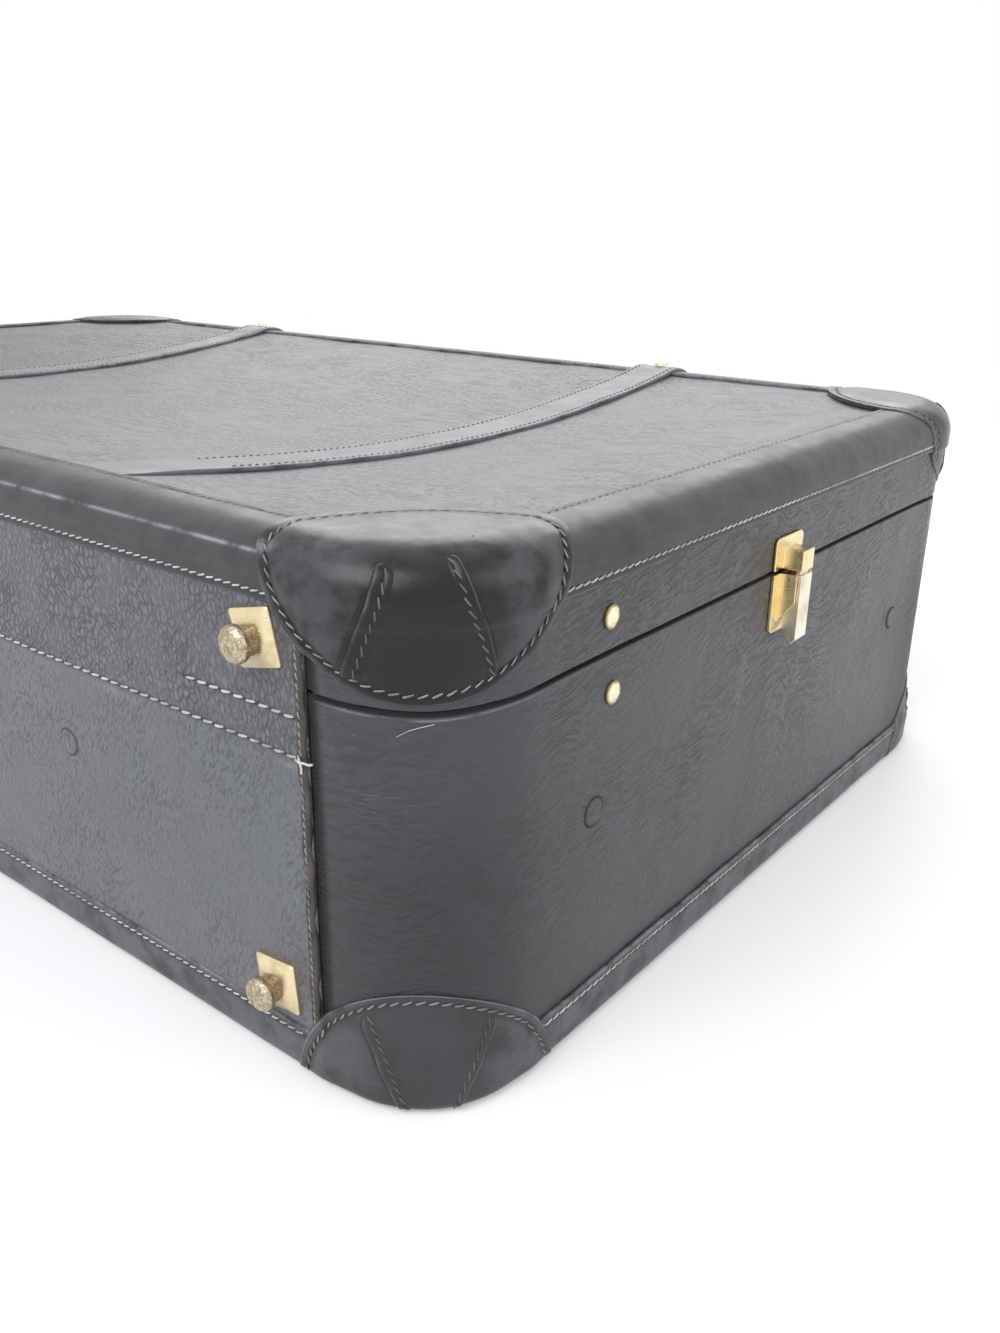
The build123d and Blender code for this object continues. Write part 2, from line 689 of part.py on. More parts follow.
# Front locks: a slotted case with a sliding thumb button on the base, and a hasp on the lid. The
# hasp hangs in front of the case and ends above the button.
slot_floor = lock_depth - lock_slot_depth
track_height = button_height + 2 * button_play
track_middle = lock_foot + track_height / 2 - lock_height
axle = (hasp_plate_thickness + hasp_barrel_radius, hasp_plate_height - hasp_barrel_radius)
hasp_back = lock_depth + hasp_gap
hasp_end = track_middle + track_height / 2 + hasp_tip_gap - split_gap
staple_end = hasp_end + staple_rise
hasp_pins = []
for name, side in SIDES.items():
    seat = wall((0, -1), side * lock_offset, base_top)
    with BuildPart() as lock_case:
        with BuildSketch(seat):
            Rectangle(lock_width, lock_height, align=(Align.CENTER, Align.MAX))
        extrude(amount=lock_depth)
        fillet(lock_case.edges().filter_by(Axis.Y), lock_corner)
        with BuildSketch(seat.offset(slot_floor)):
            Rectangle(lock_slot_width, lock_slot_height, align=(Align.CENTER, Align.MAX))
        extrude(amount=lock_slot_depth, mode=Mode.SUBTRACT)
        with BuildSketch(seat.offset(slot_floor)):
            with Locations((0, track_middle)):
                Rectangle(button_width + button_travel + 2 * button_play, track_height)
        extrude(amount=lock_slot_depth, mode=Mode.SUBTRACT)
    save(lock_case, f"lock_case_{name}")

    with BuildPart() as lock_button:
        with BuildSketch(seat.offset(slot_floor)):
            with Locations((-side * button_travel / 2, track_middle)):
                Rectangle(button_width, button_height)
        extrude(amount=lock_slot_depth + button_depth)
        fillet(lock_button.faces().sort_by(outward_axis(seat))[-1].edges(), button_round)
    save(lock_button, f"lock_button_{name}")

    lid_seat = wall((0, -1), side * lock_offset, lid_bottom)
    lid_view = side_view(lid_seat)
    with BuildPart() as hasp_plate:
        with BuildSketch(lid_seat):
            Rectangle(hasp_plate_width, hasp_plate_height, align=(Align.CENTER, Align.MIN))
        extrude(amount=hasp_plate_thickness)
        for edge in (-1, 1):
            with BuildSketch(lid_view.offset(edge * (hasp_width / 2 + hasp_gap))):
                with Locations(axle):
                    Circle(hasp_barrel_radius)
                    with Locations((-hasp_barrel_radius / 2, 0)):
                        Rectangle(hasp_barrel_radius, 2 * hasp_barrel_radius)
                    Circle(hasp_pin_radius, mode=Mode.SUBTRACT)
            extrude(amount=edge * (hasp_plate_width - hasp_width - 2 * hasp_gap) / 2)
    save(hasp_plate, f"hasp_plate_{name}")

    with BuildPart() as hasp_pin:
        with BuildSketch(lid_view):
            with Locations(axle):
                Circle(hasp_pin_radius)
        extrude(amount=hasp_plate_width / 2, both=True)
    hasp_pins.append(hasp_pin.part)

    with BuildPart() as hasp:
        with BuildSketch(lid_view):
            with Locations(axle):
                Circle(hasp_barrel_radius)
            with Locations((hasp_back, axle[1])):
                Rectangle(hasp_thickness, axle[1] - hasp_end, align=(Align.MIN, Align.MAX))
            with BuildLine():
                Polyline(
                    (axle[0], axle[1] + hasp_barrel_radius),
                    (hasp_back + hasp_thickness, axle[1]),
                    (hasp_back, axle[1] - hasp_barrel_radius),
                    (axle[0], axle[1] - hasp_barrel_radius),
                    close=True,
                )
            make_face()
            with Locations(axle):
                Circle(hasp_pin_radius + running_clearance, mode=Mode.SUBTRACT)
        extrude(amount=hasp_width / 2, both=True)
        with BuildSketch(lid_view):
            with Locations((slot_floor + button_play, staple_end)):
                Rectangle(hasp_back - slot_floor - button_play, staple_height, align=(Align.MIN, Align.MIN))
        extrude(amount=staple_width / 2, both=True)
    save(hasp, f"hasp_{name}")
group("hasp_pins", hasp_pins)

# Handle: a grip held by two fittings, which turn on pins between the brackets' cheeks
grip_level = handle_height - handle_drop
seat_half = fitting_width / 2
grip_line = wall((0, -1), 0, grip_level, handle_reach)
with BuildPart() as handle_grip:
    half_span = handle_span / 2
    with BuildSketch(Plane(origin=grip_line.origin, x_dir=(1, 0, 0), z_dir=(0, -1, 0))):
        with BuildLine():
            swell = Spline(
                (-half_span + seat_half, grip_end_radius),
                (0, grip_radius),
                (half_span - seat_half, grip_end_radius),
                tangents=((1, grip_slope), (1, -grip_slope)),
            )
            Polyline(
                swell @ 1,
                (half_span - seat_half, grip_seat_radius),
                (half_span + seat_half, grip_seat_radius),
                (half_span + seat_half, grip_end_radius),
                (half_span + seat_half + grip_end_length, grip_end_radius),
                (half_span + seat_half + grip_end_length, 0),
                (-half_span - seat_half - grip_end_length, 0),
                (-half_span - seat_half - grip_end_length, grip_end_radius),
                (-half_span - seat_half, grip_end_radius),
                (-half_span - seat_half, grip_seat_radius),
                (-half_span + seat_half, grip_seat_radius),
                swell @ 0,
            )
        make_face()
    revolve(axis=Axis(grip_line.origin, (1, 0, 0)))
save(handle_grip, "handle_grip")

handle_pins = []
for name, side in SIDES.items():
    middle = wall((0, -1), side * handle_span / 2, handle_height)
    view = side_view(middle)
    with BuildPart() as handle_fitting:
        with BuildSketch(view):
            with Locations((handle_reach, 0)):
                Circle(eye_radius)
            with Locations((handle_reach, -handle_drop)):
                Circle(collar_radius)
            with Locations((handle_reach, -handle_drop / 2)):
                Rectangle(fitting_depth, handle_drop)
            with Locations((handle_reach, 0)):
                Circle(handle_pin_radius + running_clearance, mode=Mode.SUBTRACT)
            with Locations((handle_reach, -handle_drop)):
                Circle(grip_seat_radius, mode=Mode.SUBTRACT)
        extrude(amount=fitting_width / 2, both=True)
    save(handle_fitting, f"handle_fitting_{name}")

    with BuildPart() as handle_bracket:
        with BuildSketch(middle):
            RectangleRounded(bracket_width, bracket_height, bracket_corner)
        extrude(amount=bracket_plate_thickness)
        for edge in (-1, 1):
            with BuildSketch(view.offset(edge * (fitting_width / 2 + cheek_play))):
                with Locations((handle_reach, 0)):
                    Circle(eye_radius)
                with Locations((handle_reach / 2, 0)):
                    Rectangle(handle_reach, 2 * eye_radius)
                with Locations((handle_reach, 0)):
                    Circle(handle_pin_radius, mode=Mode.SUBTRACT)
            extrude(amount=edge * cheek_thickness)
    save(handle_bracket, f"handle_bracket_{name}")

    with BuildPart() as handle_pin:
        with BuildSketch(view):
            with Locations((handle_reach, 0)):
                Circle(handle_pin_radius)
        extrude(amount=fitting_width / 2 + cheek_play + cheek_thickness, both=True)
    handle_pins.append(handle_pin.part)
group("handle_pins", handle_pins)
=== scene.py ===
"""Surfaces, stitching, finishes and stage for a leather-covered suitcase of rigid board.

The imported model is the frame. Leather that shows is worked out here as grids of points and
stands in for the plain solids. Brass keeps its solids' shapes with softened edges. Lengths are in
metres in the frame's own axes: +Z is up, +X runs along the length, the hinge is at +Y.
"""
import json
import math

import bmesh
import bpy
import numpy as np
from bpy.props import FloatProperty, FloatVectorProperty, PointerProperty
from mathutils import Matrix, Vector

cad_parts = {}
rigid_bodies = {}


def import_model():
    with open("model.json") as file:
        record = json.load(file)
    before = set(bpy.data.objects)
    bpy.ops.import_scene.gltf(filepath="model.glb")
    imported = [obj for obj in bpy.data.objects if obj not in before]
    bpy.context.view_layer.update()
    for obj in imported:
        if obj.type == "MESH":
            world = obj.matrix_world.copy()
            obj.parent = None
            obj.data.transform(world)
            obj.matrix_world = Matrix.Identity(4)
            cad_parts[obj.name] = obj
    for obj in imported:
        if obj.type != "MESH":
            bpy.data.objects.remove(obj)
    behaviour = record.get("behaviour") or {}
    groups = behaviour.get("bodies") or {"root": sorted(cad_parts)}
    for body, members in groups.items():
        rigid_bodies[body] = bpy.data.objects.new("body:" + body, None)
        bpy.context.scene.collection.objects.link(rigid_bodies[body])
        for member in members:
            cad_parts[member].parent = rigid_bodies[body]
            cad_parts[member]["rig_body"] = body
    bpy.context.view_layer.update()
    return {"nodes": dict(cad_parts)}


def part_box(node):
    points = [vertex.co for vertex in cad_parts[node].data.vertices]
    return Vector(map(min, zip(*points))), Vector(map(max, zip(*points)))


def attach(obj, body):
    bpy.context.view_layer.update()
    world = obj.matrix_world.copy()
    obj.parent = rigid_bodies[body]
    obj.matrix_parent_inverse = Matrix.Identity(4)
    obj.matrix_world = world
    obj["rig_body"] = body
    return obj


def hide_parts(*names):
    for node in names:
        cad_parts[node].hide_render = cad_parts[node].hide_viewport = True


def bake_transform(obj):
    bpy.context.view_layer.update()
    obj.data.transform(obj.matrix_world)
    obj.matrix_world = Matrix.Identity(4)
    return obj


bl_info = {
    "name": "Leather suitcase",
    "version": (1, 0, 0),
    "blender": (4, 5, 0),
    "location": "View3D > Sidebar > Suitcase",
    "description": "Builds the leather, thread, brass and stage of a leather-covered suitcase",
    "category": "Add Mesh",
}

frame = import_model()
MM = 0.001

# What the frame gives
HALF_LENGTH, HALF_DEPTH, BASE_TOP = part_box("base_side_cover")[1]
BASE_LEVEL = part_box("base_side_cover")[0].z
LID_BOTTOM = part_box("lid_side_cover")[0].z
LID_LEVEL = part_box("lid_side_cover")[1].z
LID_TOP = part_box("lid_binding")[1].z
LID_BINDING_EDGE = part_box("lid_binding")[0].z
BASE_BINDING_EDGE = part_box("base_binding")[1].z
FLOOR_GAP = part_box("base_binding")[0].z
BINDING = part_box("lid_binding")[1].x - HALF_LENGTH
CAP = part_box("lid_cap_back_left")[1].z - LID_TOP
PANEL_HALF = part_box("base_back_cover")[1].x
PANEL_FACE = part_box("base_back_cover")[1].y - HALF_DEPTH
HINGE = (BASE_TOP + LID_BOTTOM) / 2
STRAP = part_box("lid_strap_right")
STRAP_HALF = (STRAP[1].x - STRAP[0].x) / 2
STRAP_MIDDLE = (STRAP[1].x + STRAP[0].x) / 2

# What the frame doesn't give
BOTTOM_ROUNDING = 4.5 * MM
SEAM = HINGE - 24 * MM
SHORT_SEAM = SEAM + 14 * MM
SHORT_ROW = 56 * MM
RIDGE_DROP = 3.4 * MM
WELT_GROOVE = 0.45 * MM
RIVET_SINK = 0.15 * MM
CREASE_DEGREES = 40
TUBE_SIDES = 6
SIDES = {"left": -1, "right": 1}
CORNERS = {
    "front_left": (-1, -1),
    "front_right": (1, -1),
    "back_left": (-1, 1),
    "back_right": (1, 1),
}


def length(name, description, default):
    """A property that holds a length in metres."""
    return FloatProperty(name=name, description=description, default=default, unit="LENGTH",
                         precision=4, min=0)


def colour(name, description, default):
    """A property that holds a colour."""
    return FloatVectorProperty(name=name, description=description, default=default,
                               subtype="COLOR", size=3, min=0, max=1)


class SuitcaseShape(bpy.types.PropertyGroup):
    """Sizes of the leather pieces that the frame doesn't give."""
    corner_radius: length("Corner radius", "Rounding of the case's corners in plan", 52 * MM)
    leather: length("Leather", "Thickness of the leather on the walls", 1.45 * MM)
    rim_rounding: length("Rim rounding", "Rounding where the wall leather turns over the rim", 1.0 * MM)
    rim_gap: length("Rim gap", "Gap between lid and base at the split", 1.3 * MM)
    rim_turn: length("Rim turn", "How far the wall leather turns in over the rim", 6.3 * MM)
    corner_dip: length("Corner dip", "How far the split hangs down at each corner", 2.4 * MM)
    corner_gap: length("Corner gap", "How much wider the split is at each corner", 0.5 * MM)
    sag_depth: length("Sag depth", "Depth of the sag in the lid's top", 16 * MM)
    sag_length: length("Sag length", "Length over which the sag has its full depth", 440 * MM)
    binding_reach: length("Binding reach", "How far the bindings reach in over top and bottom", 24 * MM)
    groove: length("Panel groove", "Gap between the back panel and the wall leather", 3 * MM)
    cap_half_width: length("Cap half width", "Half of a corner cap's width across its corner", 49 * MM)
    cap_reach: length("Cap reach", "How far a cap reaches in from the sharp corner", 76.5 * MM)
    cap_edge_radius: length("Cap edge radius", "Radius of a cap's edge on the flat face", 125 * MM)
    lid_cap_drop: length("Lid cap drop", "Lid level down to the lowest point of a lid cap", 32 * MM)
    base_cap_rise: length("Base cap rise", "Height of a base cap", 47 * MM)
    cap_edge: length("Cap edge", "Thickness of a cap at its thinned edge", 0.9 * MM)
    welt_width: length("Welt width", "Width of the rolled edge at the back panel's ends", 4.2 * MM)
    welt_rise: length("Welt rise", "Height of that rolled edge over the panel's face", 0.75 * MM)


class SuitcaseStitching(bpy.types.PropertyGroup):
    """Sizes of the thread and its rows."""
    thread: length("Thread", "Thickness of the thread", 0.95 * MM)
    fine_thread: length("Fine thread", "Thickness of the thread in caps, straps and top rows", 0.8 * MM)
    inset: length("Inset", "From a piece's edge to its row of stitches", 3 * MM)
    groove_depth: length("Groove depth", "How deep the rows are pressed into the leather", 0.3 * MM)
    groove_width: length("Groove width", "Half width of those grooves", 0.9 * MM)
    edge_pitch: length("Edge pitch", "Step of the stitches in the lid's binding", 4.3 * MM)
    base_pitch: length("Base pitch", "Step of the stitches in the base's binding", 4.3 * MM)
    hinge_pitch: length("Hinge pitch", "Step of the long row under the hinge", 6 * MM)
    cap_pitch: length("Cap pitch", "Step of the stitches round the corner caps", 4.4 * MM)
    strap_pitch: length("Strap pitch", "Step of the stitches in the straps", 4 * MM)
    panel_pitch: length("Panel pitch", "Step of the stitches in the back panel's ends", 3.2 * MM)


class SuitcaseColours(bpy.types.PropertyGroup):
    """Colours of the finishes."""
    cover: colour("Cover", "Creased leather of the walls", (0.045, 0.047, 0.052))
    # Paler than the walls' cover, partly as painted light on the side facing the key lamp
    back: colour("Back", "Leather of the back panel", (0.135, 0.141, 0.163))
    # Paler than the walls' cover as painted sheen on the lid's top
    top: colour("Top", "Leather of the lid's top", (0.088, 0.090, 0.098))
    # The bindings' smooth leather painted paler as the sheen on the straps' faces
    strap: colour("Strap", "Leather of the straps", (0.085, 0.088, 0.096))
    trim: colour("Trim", "Smooth leather of the bindings", (0.034, 0.0355, 0.039))
    cap: colour("Cap", "Smooth leather of the corner caps", (0.0075, 0.008, 0.0095))
    scuff: colour("Scuff", "Leather rubbed pale", (0.36, 0.37, 0.40))
    raw: colour("Raw edge", "Worn and cut leather", (0.110, 0.088, 0.084))
    brass: colour("Brass", "Bright brass", (0.82, 0.68, 0.41))
    patina: colour("Patina", "Dull and stained brass", (0.33, 0.25, 0.13))
    gilt: colour("Gilt", "Yellow polished brass of the clasps and rivets", (0.92, 0.76, 0.44))
    thread_light: colour("Light thread", "Waxed linen thread", (0.80, 0.74, 0.71))
    thread_grey: colour("Grey thread", "Thread that dirt has greyed", (0.36, 0.345, 0.33))
    thread_dark: colour("Dark thread", "Thread that wear has darkened", (0.16, 0.155, 0.155))
    board: colour("Board", "Pressed board", (0.42, 0.33, 0.22))
    lining: colour("Lining", "Cotton lining", (0.62, 0.56, 0.44))
    floor: colour("Floor", "Floor and background", (0.93, 0.93, 0.94))


def shape():
    """The sizes in use."""
    return bpy.context.scene.suitcase_shape


def stitching():
    """The thread sizes in use."""
    return bpy.context.scene.suitcase_stitching


def colours():
    """The colours in use."""
    return bpy.context.scene.suitcase_colours


def smooth_step(value, start, stop):
    """Rises from 0 at start to 1 at stop as a cubic with level ends."""
    share = np.clip((value - start) / (stop - start), 0, 1)
    return share * share * (3 - 2 * share)


def bell(value, width):
    """A bell curve: 1 where the value is 0, and 1 / e where it is one width away."""
    return np.exp(-(value / width) ** 2)


def points_at(x, y, z):
    """Points from their coordinates, spread over one grid."""
    return np.stack(np.broadcast_arrays(x, y, z), axis=-1)


def unit(vectors):
    """Vectors of length 1."""
    return vectors / np.linalg.norm(vectors, axis=-1, keepdims=True)


class Edge:
    """The rounded edge of the lid or the base, with its profile measured by a run.

    A negative run goes along the wall, away from the edge. A run up to the end of the turn goes
    round the edge, and a longer one goes on over the flat face. The turned angle is a quarter
    circle times 1 - (1 - share) ** ease, so that with an ease over 1 the edge flattens out slowly
    towards the flat face. With flat_lift at 1, what lies over the binding comes no lower than the
    binding does, because the case stands on it.
    """

    def __init__(self, body, level, radius, rise, binding_edge, ease=1.0, flat_lift=0.0):
        self.body = body
        self.level = level
        self.rise = rise
        self.low = (binding_edge - level) * rise
        self.flat_lift = flat_lift
        share = np.linspace(0, 1, 401)
        self.angles = math.pi / 2 * (1 - (1 - share) ** ease)
        upward = np.concatenate([[0], np.cumsum(np.diff(share) * np.cos(self.angles)[:-1])])
        inward = np.concatenate([[0], np.cumsum(np.diff(share) * np.sin(self.angles)[1:])])
        self.quarter = radius / upward[-1] + (BINDING if ease == 1 else 0) * math.pi / 2
        self.runs = share * self.quarter
        self.ups = upward * radius / upward[-1]
        self.ins = inward * radius / upward[-1]
        self.turned_in = self.ins[-1]

    def at(self, run, lift):
        """Outward place, inward travel over the flat face, and height, for a run and a lift."""
        turn = np.interp(run, self.runs, self.angles)
        outward = lift * np.cos(turn) - np.interp(run, self.runs, self.ins)
        kept = lift * (1 - self.flat_lift) + self.flat_lift * np.minimum(lift, BINDING)
        up = np.interp(run, self.runs, self.ups) + kept * np.sin(turn)
        height = self.level + self.rise * (np.minimum(run, 0) + up)
        return outward, np.maximum(run - self.quarter, 0), height

    def inner(self, reach):
        """The run on the flat face at a distance from the case's outline."""
        return self.quarter + reach - self.turned_in

    def ground(self, run):
        """Lift of what a corner cap lies on: the binding by the edge, and the bare wall beyond it."""
        return BINDING * smooth_step(run, self.low - 3 * MM, self.low + 1 * MM)


LID_EDGE = Edge("lid", LID_LEVEL, LID_TOP - LID_LEVEL - BINDING, 1, LID_BINDING_EDGE, ease=1.6)
BASE_EDGE = Edge("base", FLOOR_GAP + BOTTOM_ROUNDING, BOTTOM_ROUNDING - BINDING, -1, BASE_BINDING_EDGE,
                 flat_lift=1.0)
EDGES = (LID_EDGE, BASE_EDGE)


def outline_knots():
    """Distances along the case's outline, from the middle of the back, where it starts or stops bending."""
    corner = shape().corner_radius
    along_length = HALF_LENGTH - corner
    along_depth = HALF_DEPTH - corner
    quarter = corner * math.pi / 2
    runs = [0, along_length, quarter, 2 * along_depth, quarter, 2 * along_length, quarter,
            2 * along_depth, quarter, along_length]
    return np.cumsum(runs)


def around(along, outward, height):
    """Points round the case: a rounded rectangle walked from the middle of the back towards the left end.

    Each point is the outline's point at that distance, moved outward along the outline's normal.
    """
    corner = shape().corner_radius
    core_x = HALF_LENGTH - corner
    core_y = HALF_DEPTH - corner
    knots = outline_knots()
    x = np.interp(along, knots, core_x * np.array([0, -1, -1, -1, -1, 1, 1, 1, 1, 0]))
    y = np.interp(along, knots, core_y * np.array([1, 1, 1, -1, -1, -1, -1, 1, 1, 1]))
    angle = np.interp(along, knots, np.radians([90, 90, 180, 180, 270, 270, 360, 360, 450, 450]))
    reach = corner + outward
    return points_at(x + reach * np.cos(angle), y + reach * np.sin(angle), height)


def stations(straight=8 * MM, bend=2 * MM, extra=()):
    """Distances along the whole outline, closer together round the corners, without the last one."""
    knots = outline_knots()
    places = [np.asarray(extra, float)]
    for number, (start, stop) in enumerate(zip(knots[:-1], knots[1:])):
        step = bend if number % 2 else straight
        places.append(np.linspace(start, stop, math.ceil((stop - start) / step) + 1)[:-1])
    return np.unique(np.concatenate(places).round(7))


def corner_side(points):
    """How far each point lies to the side of its nearest corner's diagonal, towards the end."""
    from_end = np.abs(points[..., 0]) - HALF_LENGTH
    from_back = np.abs(points[..., 1]) - HALF_DEPTH
    return (from_end - from_back) / math.sqrt(2)


def pressed(place, rows):
    """Depth pressed into the leather by rows of stitches: a narrow bell curve about each row."""
    sizes = stitching()
    depth = np.zeros_like(place)
    for row in rows:
        depth = depth + sizes.groove_depth * bell(place - row, sizes.groove_width)
    return depth


def with_rows(values, rows):
    """Places with more of them close to each row of stitches."""
    near = np.linspace(-1.8, 1.8, 9) * stitching().groove_width
    more = np.concatenate([row + near for row in rows])
    return np.unique(np.concatenate([values, more[(more > values[0]) & (more < values[-1])]]))


def unevenness(along, height, size):
    """A slow waviness of hand-laid leather: the sum of three crossing sine waves."""
    waves = (
        np.sin(along * 41 + height * 23)
        + np.sin(along * 67 - height * 53 + 1.3)
        + 0.6 * np.sin(along * 129 + height * 95 + 0.5)
    )
    return size * waves / 2.6


def added(name, data):
    """A new object in the scene that shows the data."""
    thing = bpy.data.objects.new(name, data)
    bpy.context.scene.collection.objects.link(thing)
    return thing


def surface(name, grid, material, body, wrap=(False, False), ends=False, wear=None,
            crease=CREASE_DEGREES, merge=False, flip=False):
    """Makes a piece from a grid of points, with one face between each four neighbours.

    wrap joins the last row or column to the first, and ends closes both ends of a tube. Faces
    point along the cross product of the row and the column directions, or against it with flip.
    wear is a number for each point, or anything that spreads over the grid.
    """
    rows, columns = grid.shape[:2]
    first_row, first_column = np.arange(rows - (not wrap[0])), np.arange(columns - (not wrap[1]))
    i, j = np.meshgrid(first_row, first_column, indexing="ij")
    row = np.stack([i, i + 1, i + 1, i]).reshape(4, -1).T % rows
    column = np.stack([j, j, j + 1, j + 1]).reshape(4, -1).T % columns
    faces = (row * columns + column).tolist()
    if wear is not None:
        wear = np.broadcast_to(wear, (rows, columns))
    if ends:
        faces.append(list(range(columns)))
        faces.append(list(range((rows - 1) * columns, rows * columns))[::-1])
    return mesh_piece(name, grid.reshape(-1, 3), faces, material, body, wear, crease, merge, flip)


def mesh_piece(name, points, faces, material, body, wear=None, crease=CREASE_DEGREES,
               merge=False, flip=False):
    """Makes a piece from points and faces, smooth but for edges sharper than crease degrees.

    The material is given by the name of its finish.
    """
    mesh = bpy.data.meshes.new(name)
    mesh.from_pydata(points.tolist(), [], faces)
    if wear is not None:
        worn = mesh.attributes.new("wear", "FLOAT", "POINT")
        worn.data.foreach_set("value", wear.astype(np.float32).ravel())
    if merge or flip:
        tidy = bmesh.new()
        tidy.from_mesh(mesh)
        if merge:
            bmesh.ops.remove_doubles(tidy, verts=tidy.verts, dist=1e-6)
        if flip:
            bmesh.ops.reverse_faces(tidy, faces=tidy.faces)
        tidy.to_mesh(mesh)
        tidy.free()
    mesh.validate()
    mesh.shade_smooth()
    mesh.set_sharp_from_angle(angle=math.radians(crease))
    mesh.materials.append(finish(material))
    piece = added(name, mesh)
    if body:
        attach(piece, body)
    return piece


def finished_with(piece, kind, **settings):
    """Adds a modifier with its settings."""
    modifier = piece.modifiers.new(kind.title(), kind)
    for name, value in settings.items():
        setattr(modifier, name, value)
    return piece


class Nodes:
    """Short ways to add nodes to a tree and join them."""

    def __init__(self, tree):
        self.nodes = tree.nodes
        self.links = tree.links

    def add(self, kind, **settings):
        """Adds a node with its settings."""
        node = self.nodes.new(kind)
        for name, value in settings.items():
            setattr(node, name, value)
        return node

    def put(self, socket, value):
        """Joins a socket to another node's output, or sets its value."""
        if isinstance(value, bpy.types.NodeSocket):
            self.links.new(value, socket)
        else:
            socket.default_value = value

    def filled(self, kind, output, settings=None, **inputs):
        """Adds a node, fills its named inputs and gives back one of its outputs."""
        node = self.add(kind, **(settings or {}))
        for name, value in inputs.items():
            self.put(node.inputs[name.replace("_", " ")], value)
        return node.outputs[output]

    def stretched(self, vector, scale):
        """The vector with each axis scaled by its own number."""
        return self.filled("ShaderNodeMapping", "Vector", Vector=vector, Scale=scale)

    def noise(self, vector, scale, detail=2.0, roughness=0.5):
        """Cloudy noise from 0 to 1, with scale clouds to the metre."""
        return self.filled("ShaderNodeTexNoise", "Fac", Vector=vector, Scale=scale, Detail=detail,
                           Roughness=roughness)

    def warped(self, vector, scale, amount):
        """The vector pushed about by noise."""
        push = self.filled("ShaderNodeTexNoise", "Color", Vector=vector, Scale=scale, Detail=2.0)
        centred = self.vector("SUBTRACT", push, (0.5, 0.5, 0.5))
        return self.vector("ADD", vector, self.vector("SCALE", centred, amount))

    def vector(self, operation, first, second):
        """Vector arithmetic on two vectors, or on a vector and a number for SCALE."""
        node = self.add("ShaderNodeVectorMath", operation=operation)
        self.put(node.inputs[0], first)
        self.put(node.inputs["Scale"] if operation == "SCALE" else node.inputs[1], second)
        return node.outputs["Vector"]

    def number(self, operation, first, second=0.0):
        """Arithmetic on numbers."""
        node = self.add("ShaderNodeMath", operation=operation)
        self.put(node.inputs[0], first)
        self.put(node.inputs[1], second)
        return node.outputs[0]

    def times(self, first, second):
        """One number times another."""
        return self.number("MULTIPLY", first, second)

    def greater(self, first, second):
        """The greater of two numbers."""
        return self.number("MAXIMUM", first, second)

    def rest(self, share):
        """What a share leaves of 1."""
        return self.number("SUBTRACT", 1.0, share)

    def fade(self, value, start, stop, low=0.0, high=1.0):
        """Goes smoothly from low where the value is at start to high where it is at stop."""
        node = self.add("ShaderNodeMapRange", interpolation_type="SMOOTHSTEP")
        for socket, number in zip(node.inputs, (value, start, stop, low, high)):
            self.put(socket, number)
        return node.outputs[0]

    def mixed(self, share, first, second):
        """One colour mixed with another by a share."""
        node = self.add("ShaderNodeMix", data_type="RGBA")
        for index, value in ((0, share), (6, first), (7, second)):
            self.put(node.inputs[index], (*value, 1) if isinstance(value, tuple) else value)
        return node.outputs[2]

    def creases(self, vector, scale, width):
        """Thin lines where stretched noise crosses its middle value: 1 on a line, 0 off it."""
        noise = self.noise(self.stretched(vector, scale), 1.0, detail=1.5)
        off = self.number("ABSOLUTE", self.number("SUBTRACT", noise, 0.5))
        return self.fade(off, 0.0, width, 1.0, 0.0)

    def cells(self, vector, scale, feature="F1"):
        """Distance within packed cells, with scale cells to the metre."""
        return self.filled("ShaderNodeTexVoronoi", "Distance", {"feature": feature}, Vector=vector,
                           Scale=scale)

    def seen(self):
        """1 for a ray from the camera, a mirror or clear glass, and 0 for any other."""
        path = self.add("ShaderNodeLightPath").outputs
        return self.greater(path["Is Camera Ray"],
                            self.greater(path["Is Glossy Ray"], path["Is Transmission Ray"]))


